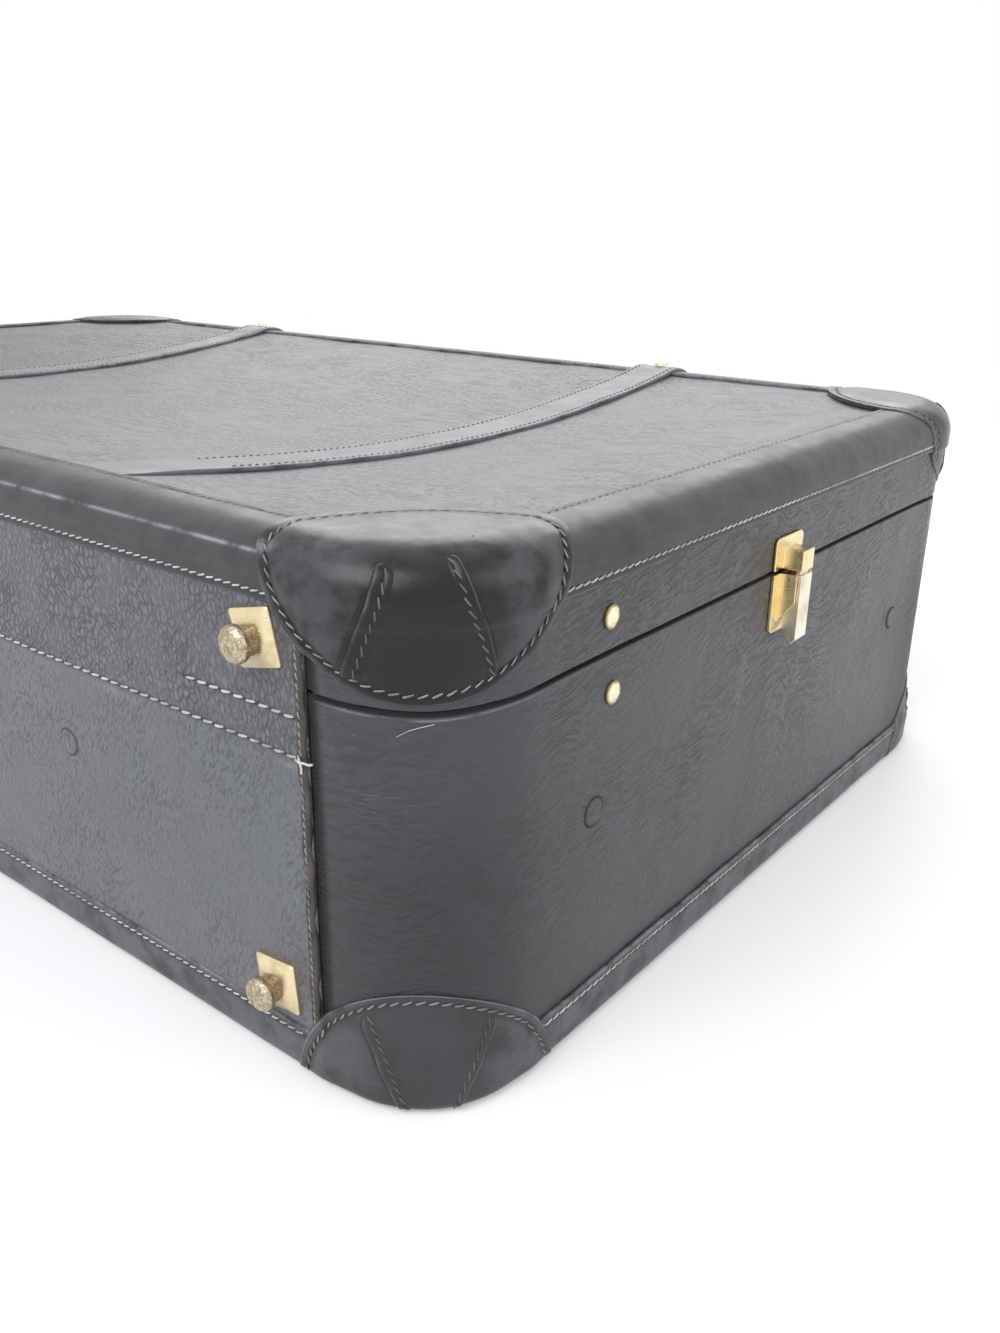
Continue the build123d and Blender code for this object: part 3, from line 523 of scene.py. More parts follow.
class Finish(Nodes):
    """A material in the making: its nodes and its shader."""

    def __init__(self, name):
        self.material = bpy.data.materials.new(name)
        self.material.use_nodes = True
        super().__init__(self.material.node_tree)
        self.nodes.clear()
        self.shader = self.add("ShaderNodeBsdfPrincipled")
        output = self.add("ShaderNodeOutputMaterial")
        self.links.new(self.shader.outputs["BSDF"], output.inputs["Surface"])
        self.place = self.add("ShaderNodeTexCoord").outputs["Object"]

    def clouds(self, scale, *settings):
        """Noise at the place on the object."""
        return self.noise(self.place, scale, *settings)

    def along(self, axis):
        """One coordinate of the place on the object."""
        return self.filled("ShaderNodeSeparateXYZ", axis, Vector=self.place)

    def wear(self):
        """The piece's own attribute: over 0 where it is rubbed pale and where a highlight or sheen is
        painted, under 0 where shade is painted and, on some brass, where it has patina.
        """
        return self.add("ShaderNodeAttribute", attribute_name="wear").outputs["Fac"]

    def rubbed(self, scale):
        """How pale each place is where the attribute is over 0, from rubbing and from painted highlights and
        sheen, broken up by noise.
        """
        broken = self.fade(self.clouds(scale, 4.0, 0.6), 0.32, 0.6)
        return self.times(self.greater(self.wear(), 0.0), broken)

    def shade_and_patina(self):
        """How dark each place is where the attribute is under 0: painted shade, and on some brass patina too.
        """
        return self.times(self.number("MINIMUM", self.wear(), 0.0), -1.0)

    def bumped(self, *layers):
        """Stacks bumps on the shader's normal, each a height from 0 to 1 with its depth in metres."""
        normal = None
        for height, depth in layers:
            node = self.add("ShaderNodeBump")
            self.put(node.inputs["Height"], height)
            self.put(node.inputs["Distance"], depth)
            if normal:
                self.put(node.inputs["Normal"], normal)
            normal = node.outputs["Normal"]
        self.put(self.shader.inputs["Normal"], normal)

    def done(self, base, roughness, **constants):
        """Sets the shader's colour, roughness and plain numbers, and gives back the material."""
        self.put(self.shader.inputs["Base Color"], (*base, 1) if isinstance(base, tuple) else base)
        self.put(self.shader.inputs["Roughness"], roughness)
        for name, value in constants.items():
            self.shader.inputs[name.replace("_", " ")].default_value = value
        return self.material


def scaled(tone, factor):
    """A colour with each part multiplied by a number."""
    return tuple(factor * part for part in tone)


def paled(tone, factor):
    """A colour made paler, and no part over 1."""
    return tuple(min(factor * part + 0.008, 1) for part in tone)


def creased_leather(name, tone, rubbed, roughness, specular, sheen, *layers):
    """Grained leather: layers of folds with painted shade in their hollows and painted highlights on their
    crests, a fine grain, worn patches, and painted shade and highlights from the wear attribute.

    A layer of cells is small pillows parted by lines of painted shade. Any other is flowing folds. Each gives
    the folds' size along each axis, their turn, how far noise bends them, their depth, how much shade
    and highlight is painted on them, the clouds that gather them with the least share between clouds and,
    if any, the heights between which they come in.
    """
    leather = Finish(name)
    dark, deep = scaled(tone, 0.8), scaled(tone, 0.16)
    bumps = [(leather.clouds(30.0, 2.0), 0.8 * MM)]
    base = leather.mixed(leather.fade(leather.clouds(9.0, 5.0, 0.62), 0.3, 0.72), dark, tone)
    folds = 0.0
    for form, size, turn, bend, depth, shade, clouds, heights in layers:
        swept = leather.warped(leather.warped(leather.place, 16.0, bend), 110.0, 0.12 * bend)
        turned_first = leather.filled("ShaderNodeMapping", "Vector", Vector=swept, Rotation=turn)
        spread = leather.stretched(turned_first, tuple(1 / part for part in size))
        if form == "cells":
            waves = leather.cells(spread, 1.0, "DISTANCE_TO_EDGE")
            hollow, top, slope = (0.19, 0.0), (0.14, 0.42), (0.0, 0.34)
        else:
            waves = leather.noise(spread, 1.0, 1.5, 0.45)
            hollow, top, slope = (0.5, 0.36), (0.5, 0.64), (0.34, 0.62)
        gathered = leather.fade(leather.clouds(clouds[0], 3.0), 0.38, 0.6, clouds[1], 1.0)
        if heights:
            gathered = leather.times(gathered, leather.fade(leather.along("Z"), *heights))
        fold = leather.times(leather.fade(waves, *hollow), gathered)
        # Painted highlight on the fold crests; the hollows gather into folds as painted shade
        crest_highlight = leather.times(leather.fade(waves, *top), gathered)
        base = leather.mixed(leather.times(crest_highlight, 0.8 * shade), base, paled(tone, 1.35))
        folds = leather.greater(folds, leather.times(fold, shade))
        bumps.append((leather.times(leather.fade(waves, *slope), gathered), depth))
    grain = leather.cells(leather.warped(leather.place, 300.0, 0.0012), 950.0)
    base = leather.mixed(leather.fade(grain, 0.15, 0.6, 0.0, 0.45), base, dark)
    # Painted shade: fold hollows and pressed grooves are mixed towards a much darker tone
    base = leather.mixed(folds, base, deep)
    base = leather.mixed(leather.shade_and_patina(), base, deep)
    base = leather.mixed(leather.rubbed(90.0), base, rubbed)
    dull = leather.greater(leather.times(folds, 0.3), leather.shade_and_patina())
    rough = leather.number("ADD", roughness, dull)
    leather.bumped(*bumps, (leather.rest(grain), 0.07 * MM))
    return leather.done(base, rough, Specular_IOR_Level=specular, Sheen_Weight=sheen,
                        Sheen_Roughness=0.35)


def smooth_leather(name, tone, rubbed, roughness, specular, sheen, torn_depth=0.8):
    """Smooth strap leather, scuffed and scratched, pale or raw where it is worn, paler where sheen is painted
    and darker where shade is painted.
    """
    leather = Finish(name)
    deep, pale = scaled(tone, 0.15), paled(tone, 1.5)
    swept = leather.stretched(leather.warped(leather.place, 30.0, 0.02), (60, 60, 240))
    scuffs = leather.noise(swept, 1.0, 5.0, 0.65)
    scratches = leather.creases(leather.warped(leather.place, 8.0, 0.05), (45, 30, 260), 0.010)
    torn = leather.fade(leather.clouds(150.0, 6.0, 0.72), 0.66, 0.72)
    base = leather.mixed(leather.fade(leather.clouds(22.0, 6.0, 0.65), 0.32, 0.7), scaled(tone, 0.45), tone)
    base = leather.mixed(leather.fade(scuffs, 0.52, 0.8, 0.0, 0.4), base, pale)
    base = leather.mixed(leather.times(scratches, 0.15), base, pale)
    base = leather.mixed(leather.times(torn, torn_depth), base, deep)
    # Painted shade: places where the wear attribute is under 0 are mixed towards the dark tone
    base = leather.mixed(leather.shade_and_patina(), base, deep)
    base = leather.mixed(leather.rubbed(75.0), base, rubbed)
    rough = leather.fade(scuffs, 0.35, 0.75, roughness, roughness + 0.12)
    rough = leather.number("ADD", rough, leather.times(torn, 0.3))
    leather.bumped(
        (leather.clouds(45.0, 2.0), 0.8 * MM),
        (scuffs, 0.08 * MM),
        (leather.rest(torn), 0.15 * MM),
        (leather.clouds(420.0, 3.0, 0.6), 0.05 * MM),
    )
    return leather.done(base, rough, Specular_IOR_Level=specular, Sheen_Weight=sheen,
                        Sheen_Roughness=0.35)


def worn_brass(name, bright, dull, roughness, darkening=0.6):
    """Brass with stains, scratches and duller low spots."""
    brass = Finish(name)
    stains = brass.clouds(110.0, 6.0, 0.65)
    specks = brass.clouds(900.0, 4.0, 0.7)
    scratches = brass.creases(brass.warped(brass.place, 60.0, 0.006), (240, 300, 900), 0.03)
    base = brass.mixed(brass.fade(stains, 0.48, 0.72, 0.0, darkening), bright, dull)
    base = brass.mixed(brass.fade(specks, 0.6, 0.74, 0.0, darkening), base, scaled(dull, 0.5))
    # Darker where the wear attribute is under 0: patina on the stay rivets' rims, painted shade on their
    # lower side and on the feet's lower slopes, and darker plate rims and middles
    base = brass.mixed(brass.shade_and_patina(), base, scaled(dull, 0.6))
    rough = brass.fade(stains, 0.3, 0.75, roughness, roughness + 0.25)
    brass.bumped((stains, 0.12 * MM), (specks, 0.03 * MM), (brass.rest(scratches), 0.02 * MM))
    return brass.done(base, rough, Metallic=1.0)


def hammered_brass(name, bright, dull):
    """Cast stud metal: pitted all over, dark in the pits and worn bright on the high spots."""
    brass = Finish(name)
    pits = brass.cells(brass.warped(brass.place, 500.0, 0.001), 900.0)
    clouds = brass.clouds(300.0, 4.0, 0.65)
    base = brass.mixed(brass.fade(pits, 0.25, 0.75), bright, dull)
    base = brass.mixed(brass.fade(clouds, 0.45, 0.7, 0.0, 0.6), base, scaled(dull, 0.6))
    brass.bumped((clouds, 0.3 * MM), (brass.rest(pits), 0.15 * MM))
    return brass.done(base, brass.fade(clouds, 0.3, 0.7, 0.32, 0.6), Metallic=1.0)


def waxed_thread(name, tone):
    """Twisted thread, dirtier in places and from one stitch to the next."""
    thread = Finish(name)
    dirt = thread.clouds(40.0, 4.0, 0.6)
    each = thread.clouds(210.0, 1.0)
    fibres = thread.clouds(3200.0, 2.0)
    base = thread.mixed(thread.fade(dirt, 0.36, 0.62), scaled(tone, 0.6), tone)
    base = thread.mixed(thread.fade(each, 0.34, 0.5, 0.45, 0.0), base, scaled(tone, 0.3))
    base = thread.mixed(thread.fade(fibres, 0.5, 0.7, 0.0, 0.5), base, scaled(tone, 0.4))
    thread.bumped((fibres, 0.12 * MM))
    return thread.done(base, 0.7)


def pressed_board(name, tone):
    """Pressed fibre board with flecks."""
    board = Finish(name)
    fibres = board.noise(board.stretched(board.place, (240, 240, 900)), 1.0, 5.0, 0.65)
    base = board.mixed(board.fade(fibres, 0.35, 0.7), scaled(tone, 0.6), tone)
    board.bumped((fibres, 0.15 * MM))
    return board.done(base, 0.85)


def woven_cotton(name, tone):
    """Plain woven cotton: threads from two crossing sine waves, with slubs and stains."""
    cotton = Finish(name)
    warp, weft = [cotton.filled("ShaderNodeTexWave", "Fac", {"bands_direction": axis}, Vector=cotton.place,
                                Scale=420.0, Distortion=0.6, Detail_Scale=6.0) for axis in "XY"]
    weave = cotton.greater(warp, weft)
    base = cotton.mixed(cotton.fade(cotton.clouds(7.0, 5.0, 0.6), 0.3, 0.75), scaled(tone, 0.7), tone)
    base = cotton.mixed(cotton.fade(weave, 0.2, 1.0, 0.2, 0.0), base, scaled(tone, 0.5))
    cotton.bumped((weave, 0.06 * MM))
    return cotton.done(base, 0.9, Sheen_Weight=0.3)


# Each finish's maker and what it is given, with colours by their names in SuitcaseColours
FINISHES = {
    # Fine folds that flow nearly level, in patches, over a fine grain
    "wall_leather": (
        creased_leather, "cover", "scuff", 0.33, 0.58, 0.05,
        ("folds", (0.009, 0.009, 0.0015), (0, 0, 0), 0.036, 0.30 * MM, 0.36, (15.0, 0.2),
         (0.02, 0.09, 0.3, 1.0)),
        ("folds", (0.004, 0.004, 0.0012), (0, 0, 0), 0.02, 0.12 * MM, 0.22, (40.0, 0.3), None),
    ),
    # Small upright pillows close together, strong above the hinge's seam; the pale tone is partly painted
    # light
    "back_leather": (
        creased_leather, "back", "scuff", 0.36, 0.6, 0.15,
        ("cells", (0.0027, 0.02, 0.0034), (0, -0.3, 0), 0.02, 0.65 * MM, 0.65, (60.0, 0.5),
         (SEAM - 1 * MM, SEAM + 1 * MM, 0.12, 1.0)),
        ("folds", (0.0013, 0.02, 0.0030), (0, 0.55, 0), 0.012, 0.18 * MM, 0.38, (26.0, 0.4), None),
    ),
    # A fine even grain, painted pale as the sheen on the lid's top
    "top_leather": (
        creased_leather, "top", "scuff", 0.42, 0.55, 0.32,
        ("folds", (0.0030, 0.0022, 0.02), (0, 0, 0.3), 0.01, 0.16 * MM, 0.4, (20.0, 0.4), None),
        ("folds", (0.020, 0.007, 0.02), (0, 0, 0.1), 0.02, 0.1 * MM, 0.25, (12.0, 0.3), None),
    ),
    # Paler than trim_leather as painted sheen on the straps' faces
    "strap_leather": (smooth_leather, "strap", "scuff", 0.36, 0.6, 0.35, 0.3),
    "trim_leather": (smooth_leather, "trim", "scuff", 0.37, 0.55, 0.03),
    "cap_leather": (smooth_leather, "cap", "scuff", 0.27, 0.4, 0.0),
    # The panel's rolled ends, worn down to the brown of the hide
    "raw_leather": (smooth_leather, (0.0385, 0.0308, 0.0294), "raw", 0.45, 0.5, 0.0),
    "light_thread": (waxed_thread, "thread_light"),
    "grey_thread": (waxed_thread, "thread_grey"),
    "dark_thread": (waxed_thread, "thread_dark"),
    "bright_brass": (worn_brass, "brass", "patina", 0.26),
    "plate_brass": (worn_brass, (0.84, 0.72, 0.46), "patina", 0.22, 0.45),
    "gilt_brass": (worn_brass, "gilt", "patina", 0.2, 0.25),
    # The stay rivets' heads: the gilt painted paler as a highlight, with few stains
    "rivet_brass": (worn_brass, (0.98, 0.88, 0.60), "patina", 0.2, 0.12),
    # The clasps' levers, paler than the gilt
    "pale_brass": (worn_brass, (0.88, 0.80, 0.64), "patina", 0.24, 0.35),
    "stud_metal": (hammered_brass, (0.62, 0.53, 0.39), (0.40, 0.33, 0.23)),
    "pressed_board": (pressed_board, "board"),
    "woven_cotton": (woven_cotton, "lining"),
}
MATERIALS = {}


def finish(name):
    """A material by the name of its finish, made once."""
    if name not in MATERIALS:
        maker, *values = FINISHES[name]
        values = [tuple(getattr(colours(), value)) if isinstance(value, str) else value for value in values]
        MATERIALS[name] = maker(name, *values)
    return MATERIALS[name]


def rim_profile(rim, foot, up):
    """Outward places and heights of wall leather: up the wall, round the rim, over it and down inside.

    The places stand close together below the rim, where the wear changes within a millimetre.
    """
    sizes = shape()
    rounding = sizes.rim_rounding
    turn = np.linspace(0, math.pi / 2, 7)
    close = rim - up * (rounding + np.array([1.2, 0.8, 0.5, 0.25]) * MM)
    wall = np.concatenate([np.linspace(foot, close[0], 24)[:-1], close])
    outward = np.concatenate([
        np.zeros(wall.size), rounding * (np.cos(turn) - 1),
        [-sizes.rim_turn, -sizes.rim_turn, -sizes.leather, -sizes.leather],
    ])
    height = np.concatenate([
        wall, rim + up * rounding * (np.sin(turn) - 1),
        [rim, rim - up * 0.35 * MM, rim - up * 0.35 * MM, foot],
    ])
    return outward, height


def panel_bed(along):
    """1 where the back panel lies over the wall leather, which thins there, and 0 elsewhere."""
    whole = outline_knots()[-1]
    from_middle = np.minimum(along, whole - along)
    edge = PANEL_HALF + shape().groove
    return 1 - smooth_step(from_middle, edge - 0.4 * MM, edge + 0.4 * MM)


def build_walls():
    """Leather round the walls of base and lid, turned over the rims at the split."""
    sizes = shape()
    whole = outline_knots()[-1]
    edge = PANEL_HALF + sizes.groove
    marks = [side * edge + shift * MM for side in (1, -1) for shift in (-0.5, -0.2, 0.2, 0.5)]
    places = stations(extra=np.array(marks) % whole)[:, None]
    thinned = 0.9 * MM
    dip_width, dip_height, dark_width = 30 * MM, 22 * MM, 45 * MM
    for body, rim, foot, up in (
        ("base", HINGE - sizes.rim_gap / 2, BASE_LEVEL + 2 * MM, 1),
        ("lid", HINGE + sizes.rim_gap / 2, LID_LEVEL - 1 * MM, -1),
    ):
        turned_over, height = rim_profile(rim, foot, up)
        skin = smooth_step(turned_over, -sizes.leather, 0)
        outward = turned_over - skin * (thinned * panel_bed(places))
        outward = outward - skin * np.abs(unevenness(places, height, 0.3 * MM))
        level = around(places, outward, height)
        hang = sizes.corner_dip + (sizes.corner_gap if up > 0 else 0)
        dip = hang * bell(corner_side(level), dip_width)
        level[..., 2] -= dip * skin * smooth_step(np.abs(height - rim), dip_height, 0)
        # Painted shade on the wall beside the back panel's ends, by its groove
        beside = 0.8 * smooth_step(np.minimum(places, whole - places), edge + 3.2 * MM, edge + 0.6 * MM)
        # Painted shade on the leather turned in over the rim, inside the split's gap
        inside = 0.97 * smooth_step(turned_over, -0.12 * sizes.rim_rounding, -0.45 * sizes.rim_rounding)
        # Painted highlight: a thin pale line just under the base's rim, strongest by the corners
        line = bell(np.abs(height - rim) - 0.9 * MM, 0.3 * MM) * (turned_over > -0.5 * MM)
        by_corner = bell(corner_side(level), dark_width)
        # Here the wear attribute holds only painted light, not wear
        worn = 0.45 * line * by_corner * (up > 0) - np.maximum(beside, inside)
        if up > 0:
            # Painted shade: the base's wall darker low down by each corner
            worn = worn - 0.34 * by_corner * smooth_step(level[..., 2], 140 * MM, 80 * MM)
        else:
            level = level[:, ::-1]
            worn = worn[:, ::-1]
        piece = surface(f"{body}_side_cover_leather", level, "wall_leather", body,
                        wrap=(True, True), wear=worn)
        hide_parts(f"{body}_side_cover")


def panel_face(x, rise):
    """Outward place of the back panel's face.

    It has slow waves, a low ridge under the seam, a crease at the hinge and its pressed rows.
    """
    ridge = 0.15 * MM * bell(rise - SEAM + RIDGE_DROP, 1.4 * MM)
    raised = 0.25 * MM * smooth_step(rise, SEAM - 4.5 * MM, SEAM - 2.5 * MM)
    crease = 0.5 * MM * bell(rise - HINGE, 3 * MM)
    rows = panel_grooves(x, rise)
    return PANEL_FACE - 0.25 * MM + ridge + raised - crease - rows + unevenness(x, rise, 0.22 * MM)


def panel_grooves(x, rise):
    """Depth pressed into the back panel by its level rows of stitches."""
    short = smooth_step(np.abs(x), PANEL_HALF - 62 * MM, PANEL_HALF - 60 * MM)
    return pressed(rise, [SEAM]) + short * pressed(rise, [SHORT_SEAM])


def build_back_panel():
    """The back panel: one thick sheet from the bottom binding over the hinge to the top binding.

    Its outline is closed round a thinner inner face. A rolled edge runs up each of its ends.
    """
    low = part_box("base_back_cover")[0].z
    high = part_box("lid_back_cover")[1].z
    span = PANEL_HALF
    steps = span * np.sin(np.linspace(-1, 1, 101) * math.pi / 2)
    x = np.unique(np.concatenate([steps, np.linspace(-span, span, 101)]).round(6))[::-1, None]
    rise = with_rows(np.linspace(low, high, 120), (SEAM, SHORT_SEAM))
    rounded = smooth_step(np.abs(x), span + 0.05 * MM, span - 1.1 * MM)
    face = -0.3 * MM + (panel_face(x, rise) + 0.3 * MM) * np.sqrt(rounded)
    outer = points_at(x, HALF_DEPTH + face, rise)
    inner = outer[:, ::-10].copy()
    inner[..., 1] = HALF_DEPTH - 0.55 * MM
    level = np.concatenate([outer, inner], axis=1)
    broken = np.clip(np.sin(level[..., 0] * 90) * np.sin(level[..., 0] * 37 + 1), 0, 1)
    rubbed = 0.5 * broken * bell(level[..., 2] - SEAM + RIDGE_DROP, 0.8 * MM)
    # Painted shade in the seam rows' grooves
    rubbed = rubbed - 0.7 * panel_grooves(level[..., 0], level[..., 2]) / stitching().groove_depth
    panel = surface("back_panel", level, "back_leather", None, wrap=(False, True),
                    ends=True, wear=rubbed)
    hinged(panel)
    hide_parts("base_back_cover", "lid_back_cover")
    for name, side in SIDES.items():
        build_welt(name, side, low, high)


def hinged(piece):
    """Bakes a back panel piece's placement into its mesh."""
    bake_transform(piece)


def build_welt(name, side, low, high):
    """The rolled edge at one end of the back panel: half an ellipse carried up the panel, sewn through."""
    sizes = shape()
    half = sizes.welt_width / 2
    turn = np.linspace(0, math.pi, 19)
    rise = np.linspace(low, high, 140)[:, None]
    wander = 0.25 * MM * np.sin(rise * 210) + 0.2 * MM * np.sin(rise * 473 + 1)
    row = bell(turn - math.pi / 2, 0.32)
    up = np.sin(turn) ** 0.7 * (PANEL_FACE + sizes.welt_rise) - WELT_GROOVE * row
    out = -half * np.cos(turn)
    across = np.concatenate([out, out[::-6]])
    lift = np.concatenate([up, np.full(out[::-6].size, -0.4 * MM)])
    x = side * (PANEL_HALF - half + across) + wander
    y = HALF_DEPTH + lift + 0.12 * MM * np.sin(rise * 380 + across * 900)
    hinged(surface(f"panel_welt_{name}", points_at(x, y, rise), "raw_leather", None,
                   wrap=(False, True), ends=True, wear=0.6, flip=side > 0))


def sag(x, y):
    """Depth of the lid top's sag: a bow across the lid, which fades in a straight line to both ends.

    The line's bends are softened, as the difference of two functions log(1 + e ** t).
    """
    sizes = shape()
    half_chord = HALF_DEPTH - sizes.binding_reach
    end = HALF_LENGTH - sizes.binding_reach
    past = (np.abs(x) - sizes.sag_length / 2) / (end - sizes.sag_length / 2)
    soft = 0.05
    share = 1 - soft * (np.logaddexp(0, past / soft) - np.logaddexp(0, (past - 1) / soft))
    return sizes.sag_depth * share * np.maximum(1 - (y / half_chord) ** 2, 0)


def lid_face(x, y):
    """Height of the lid top's leather."""
    return LID_TOP - BINDING - sag(x, y) + unevenness(x, y, 0.35 * MM)


def build_lid_top():
    """The lid's top leather: a rounded rectangle of columns, each as deep as the outline there."""
    sizes = shape()
    tuck = 4 * MM
    half_x = HALF_LENGTH - sizes.binding_reach + tuck
    half_y = HALF_DEPTH - sizes.binding_reach + tuck
    bend = sizes.corner_radius - sizes.binding_reach + tuck
    x = half_x * np.sin(np.linspace(-1, 1, 181) * math.pi / 2)[:, None]
    into_bend = np.maximum(np.abs(x) - (half_x - bend), 0)
    depth = half_y - bend + np.sqrt(np.maximum(bend ** 2 - into_bend ** 2, 0))
    y = np.linspace(-1, 1, 121)[None, :] * depth
    grid = points_at(x, y, lid_face(x, y))
    piece = surface("lid_top_leather", grid, "top_leather", "lid")
    finished_with(piece, "SOLIDIFY", thickness=1.2 * MM, offset=-1)
    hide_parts("lid_top_cover")


def strip_profile(start, stop, lift, thick, rows, marks=()):
    """Runs and lifts round a strip's section: a rounded edge, the face, a rounded edge, the hidden side."""
    turn = np.linspace(0, math.pi / 2, 5)
    rounding = 0.55 * thick
    rise = lift + thick - rounding
    face = with_rows(np.linspace(start + rounding, stop - rounding, 26), [*rows, *marks])[1:-1]
    hidden = np.linspace(stop, start, 8)[1:-1]
    runs = np.concatenate([
        [start], start + rounding * (1 - np.cos(turn)), face, stop - rounding * (1 - np.sin(turn)),
        [stop], hidden,
    ])
    lifts = np.concatenate([
        [lift], rise + rounding * np.sin(turn), rise + rounding - pressed(face, rows),
        rise + rounding * np.cos(turn), [lift], np.full(hidden.size, lift),
    ])
    return runs, lifts


def edge_points(edge, places, runs, lifts):
    """Points round the case on the lid's or base's edge."""
    outward, inward, height = edge.at(runs, lifts)
    return around(places, outward - inward, height)


def binding_rows(edge):
    """Runs of a binding's rows of stitches: by its edge on the wall and, on the lid, by its inner edge."""
    inner = edge.inner(shape().binding_reach)
    rows = [edge.low + stitching().inset]
    if edge.rise > 0:
        rows.append(inner - stitching().inset)
    return rows


def build_bindings():
    """Leather strips bound over the top and bottom edges, all the way round under the caps."""
    sizes = shape()
    places = stations()[:, None]
    whole = outline_knots()[-1]
    for edge in EDGES:
        inner = edge.inner(sizes.binding_reach)
        rows = binding_rows(edge)
        ridge = 0.30 * edge.quarter
        marks = [ridge] if edge.rise > 0 else []
        runs, lifts = strip_profile(edge.low, inner, 0.1 * MM, BINDING - 0.1 * MM, rows, marks)
        on_face = lifts > BINDING / 2
        thickening = unevenness(places, runs, 0.1 * MM) * on_face
        spare = 0.2 * MM * edge.flat_lift * smooth_step(runs, 0, edge.quarter)
        level = edge_points(edge, places, runs, lifts + thickening - spare)
        at_edges = smooth_step(runs, edge.low + 1 * MM, edge.low) + smooth_step(runs, inner - 1 * MM, inner)
        # Pale rubbed edges, and painted shade in the pressed rows
        worn = 0.45 * at_edges - 0.6 * on_face * pressed(runs, rows) / stitching().groove_depth
        if edge.rise > 0:
            on_back = np.minimum(places, whole - places) < PANEL_HALF + 30 * MM
            rubbed = bell(runs - ridge, 0.55 * MM) * (0.75 + 0.15 * np.sin(places * 70))
            worn = worn + on_back * rubbed + 0.05 * (runs > 0)
        else:
            # The base binding's face is paler all over
            worn = (worn + 0.20 * on_face)[::-1]
            level = level[:, ::-1]
        piece = surface(f"{edge.body}_binding_leather", level, "trim_leather", edge.body,
                        wrap=(True, True), wear=worn)
        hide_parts(f"{edge.body}_binding")


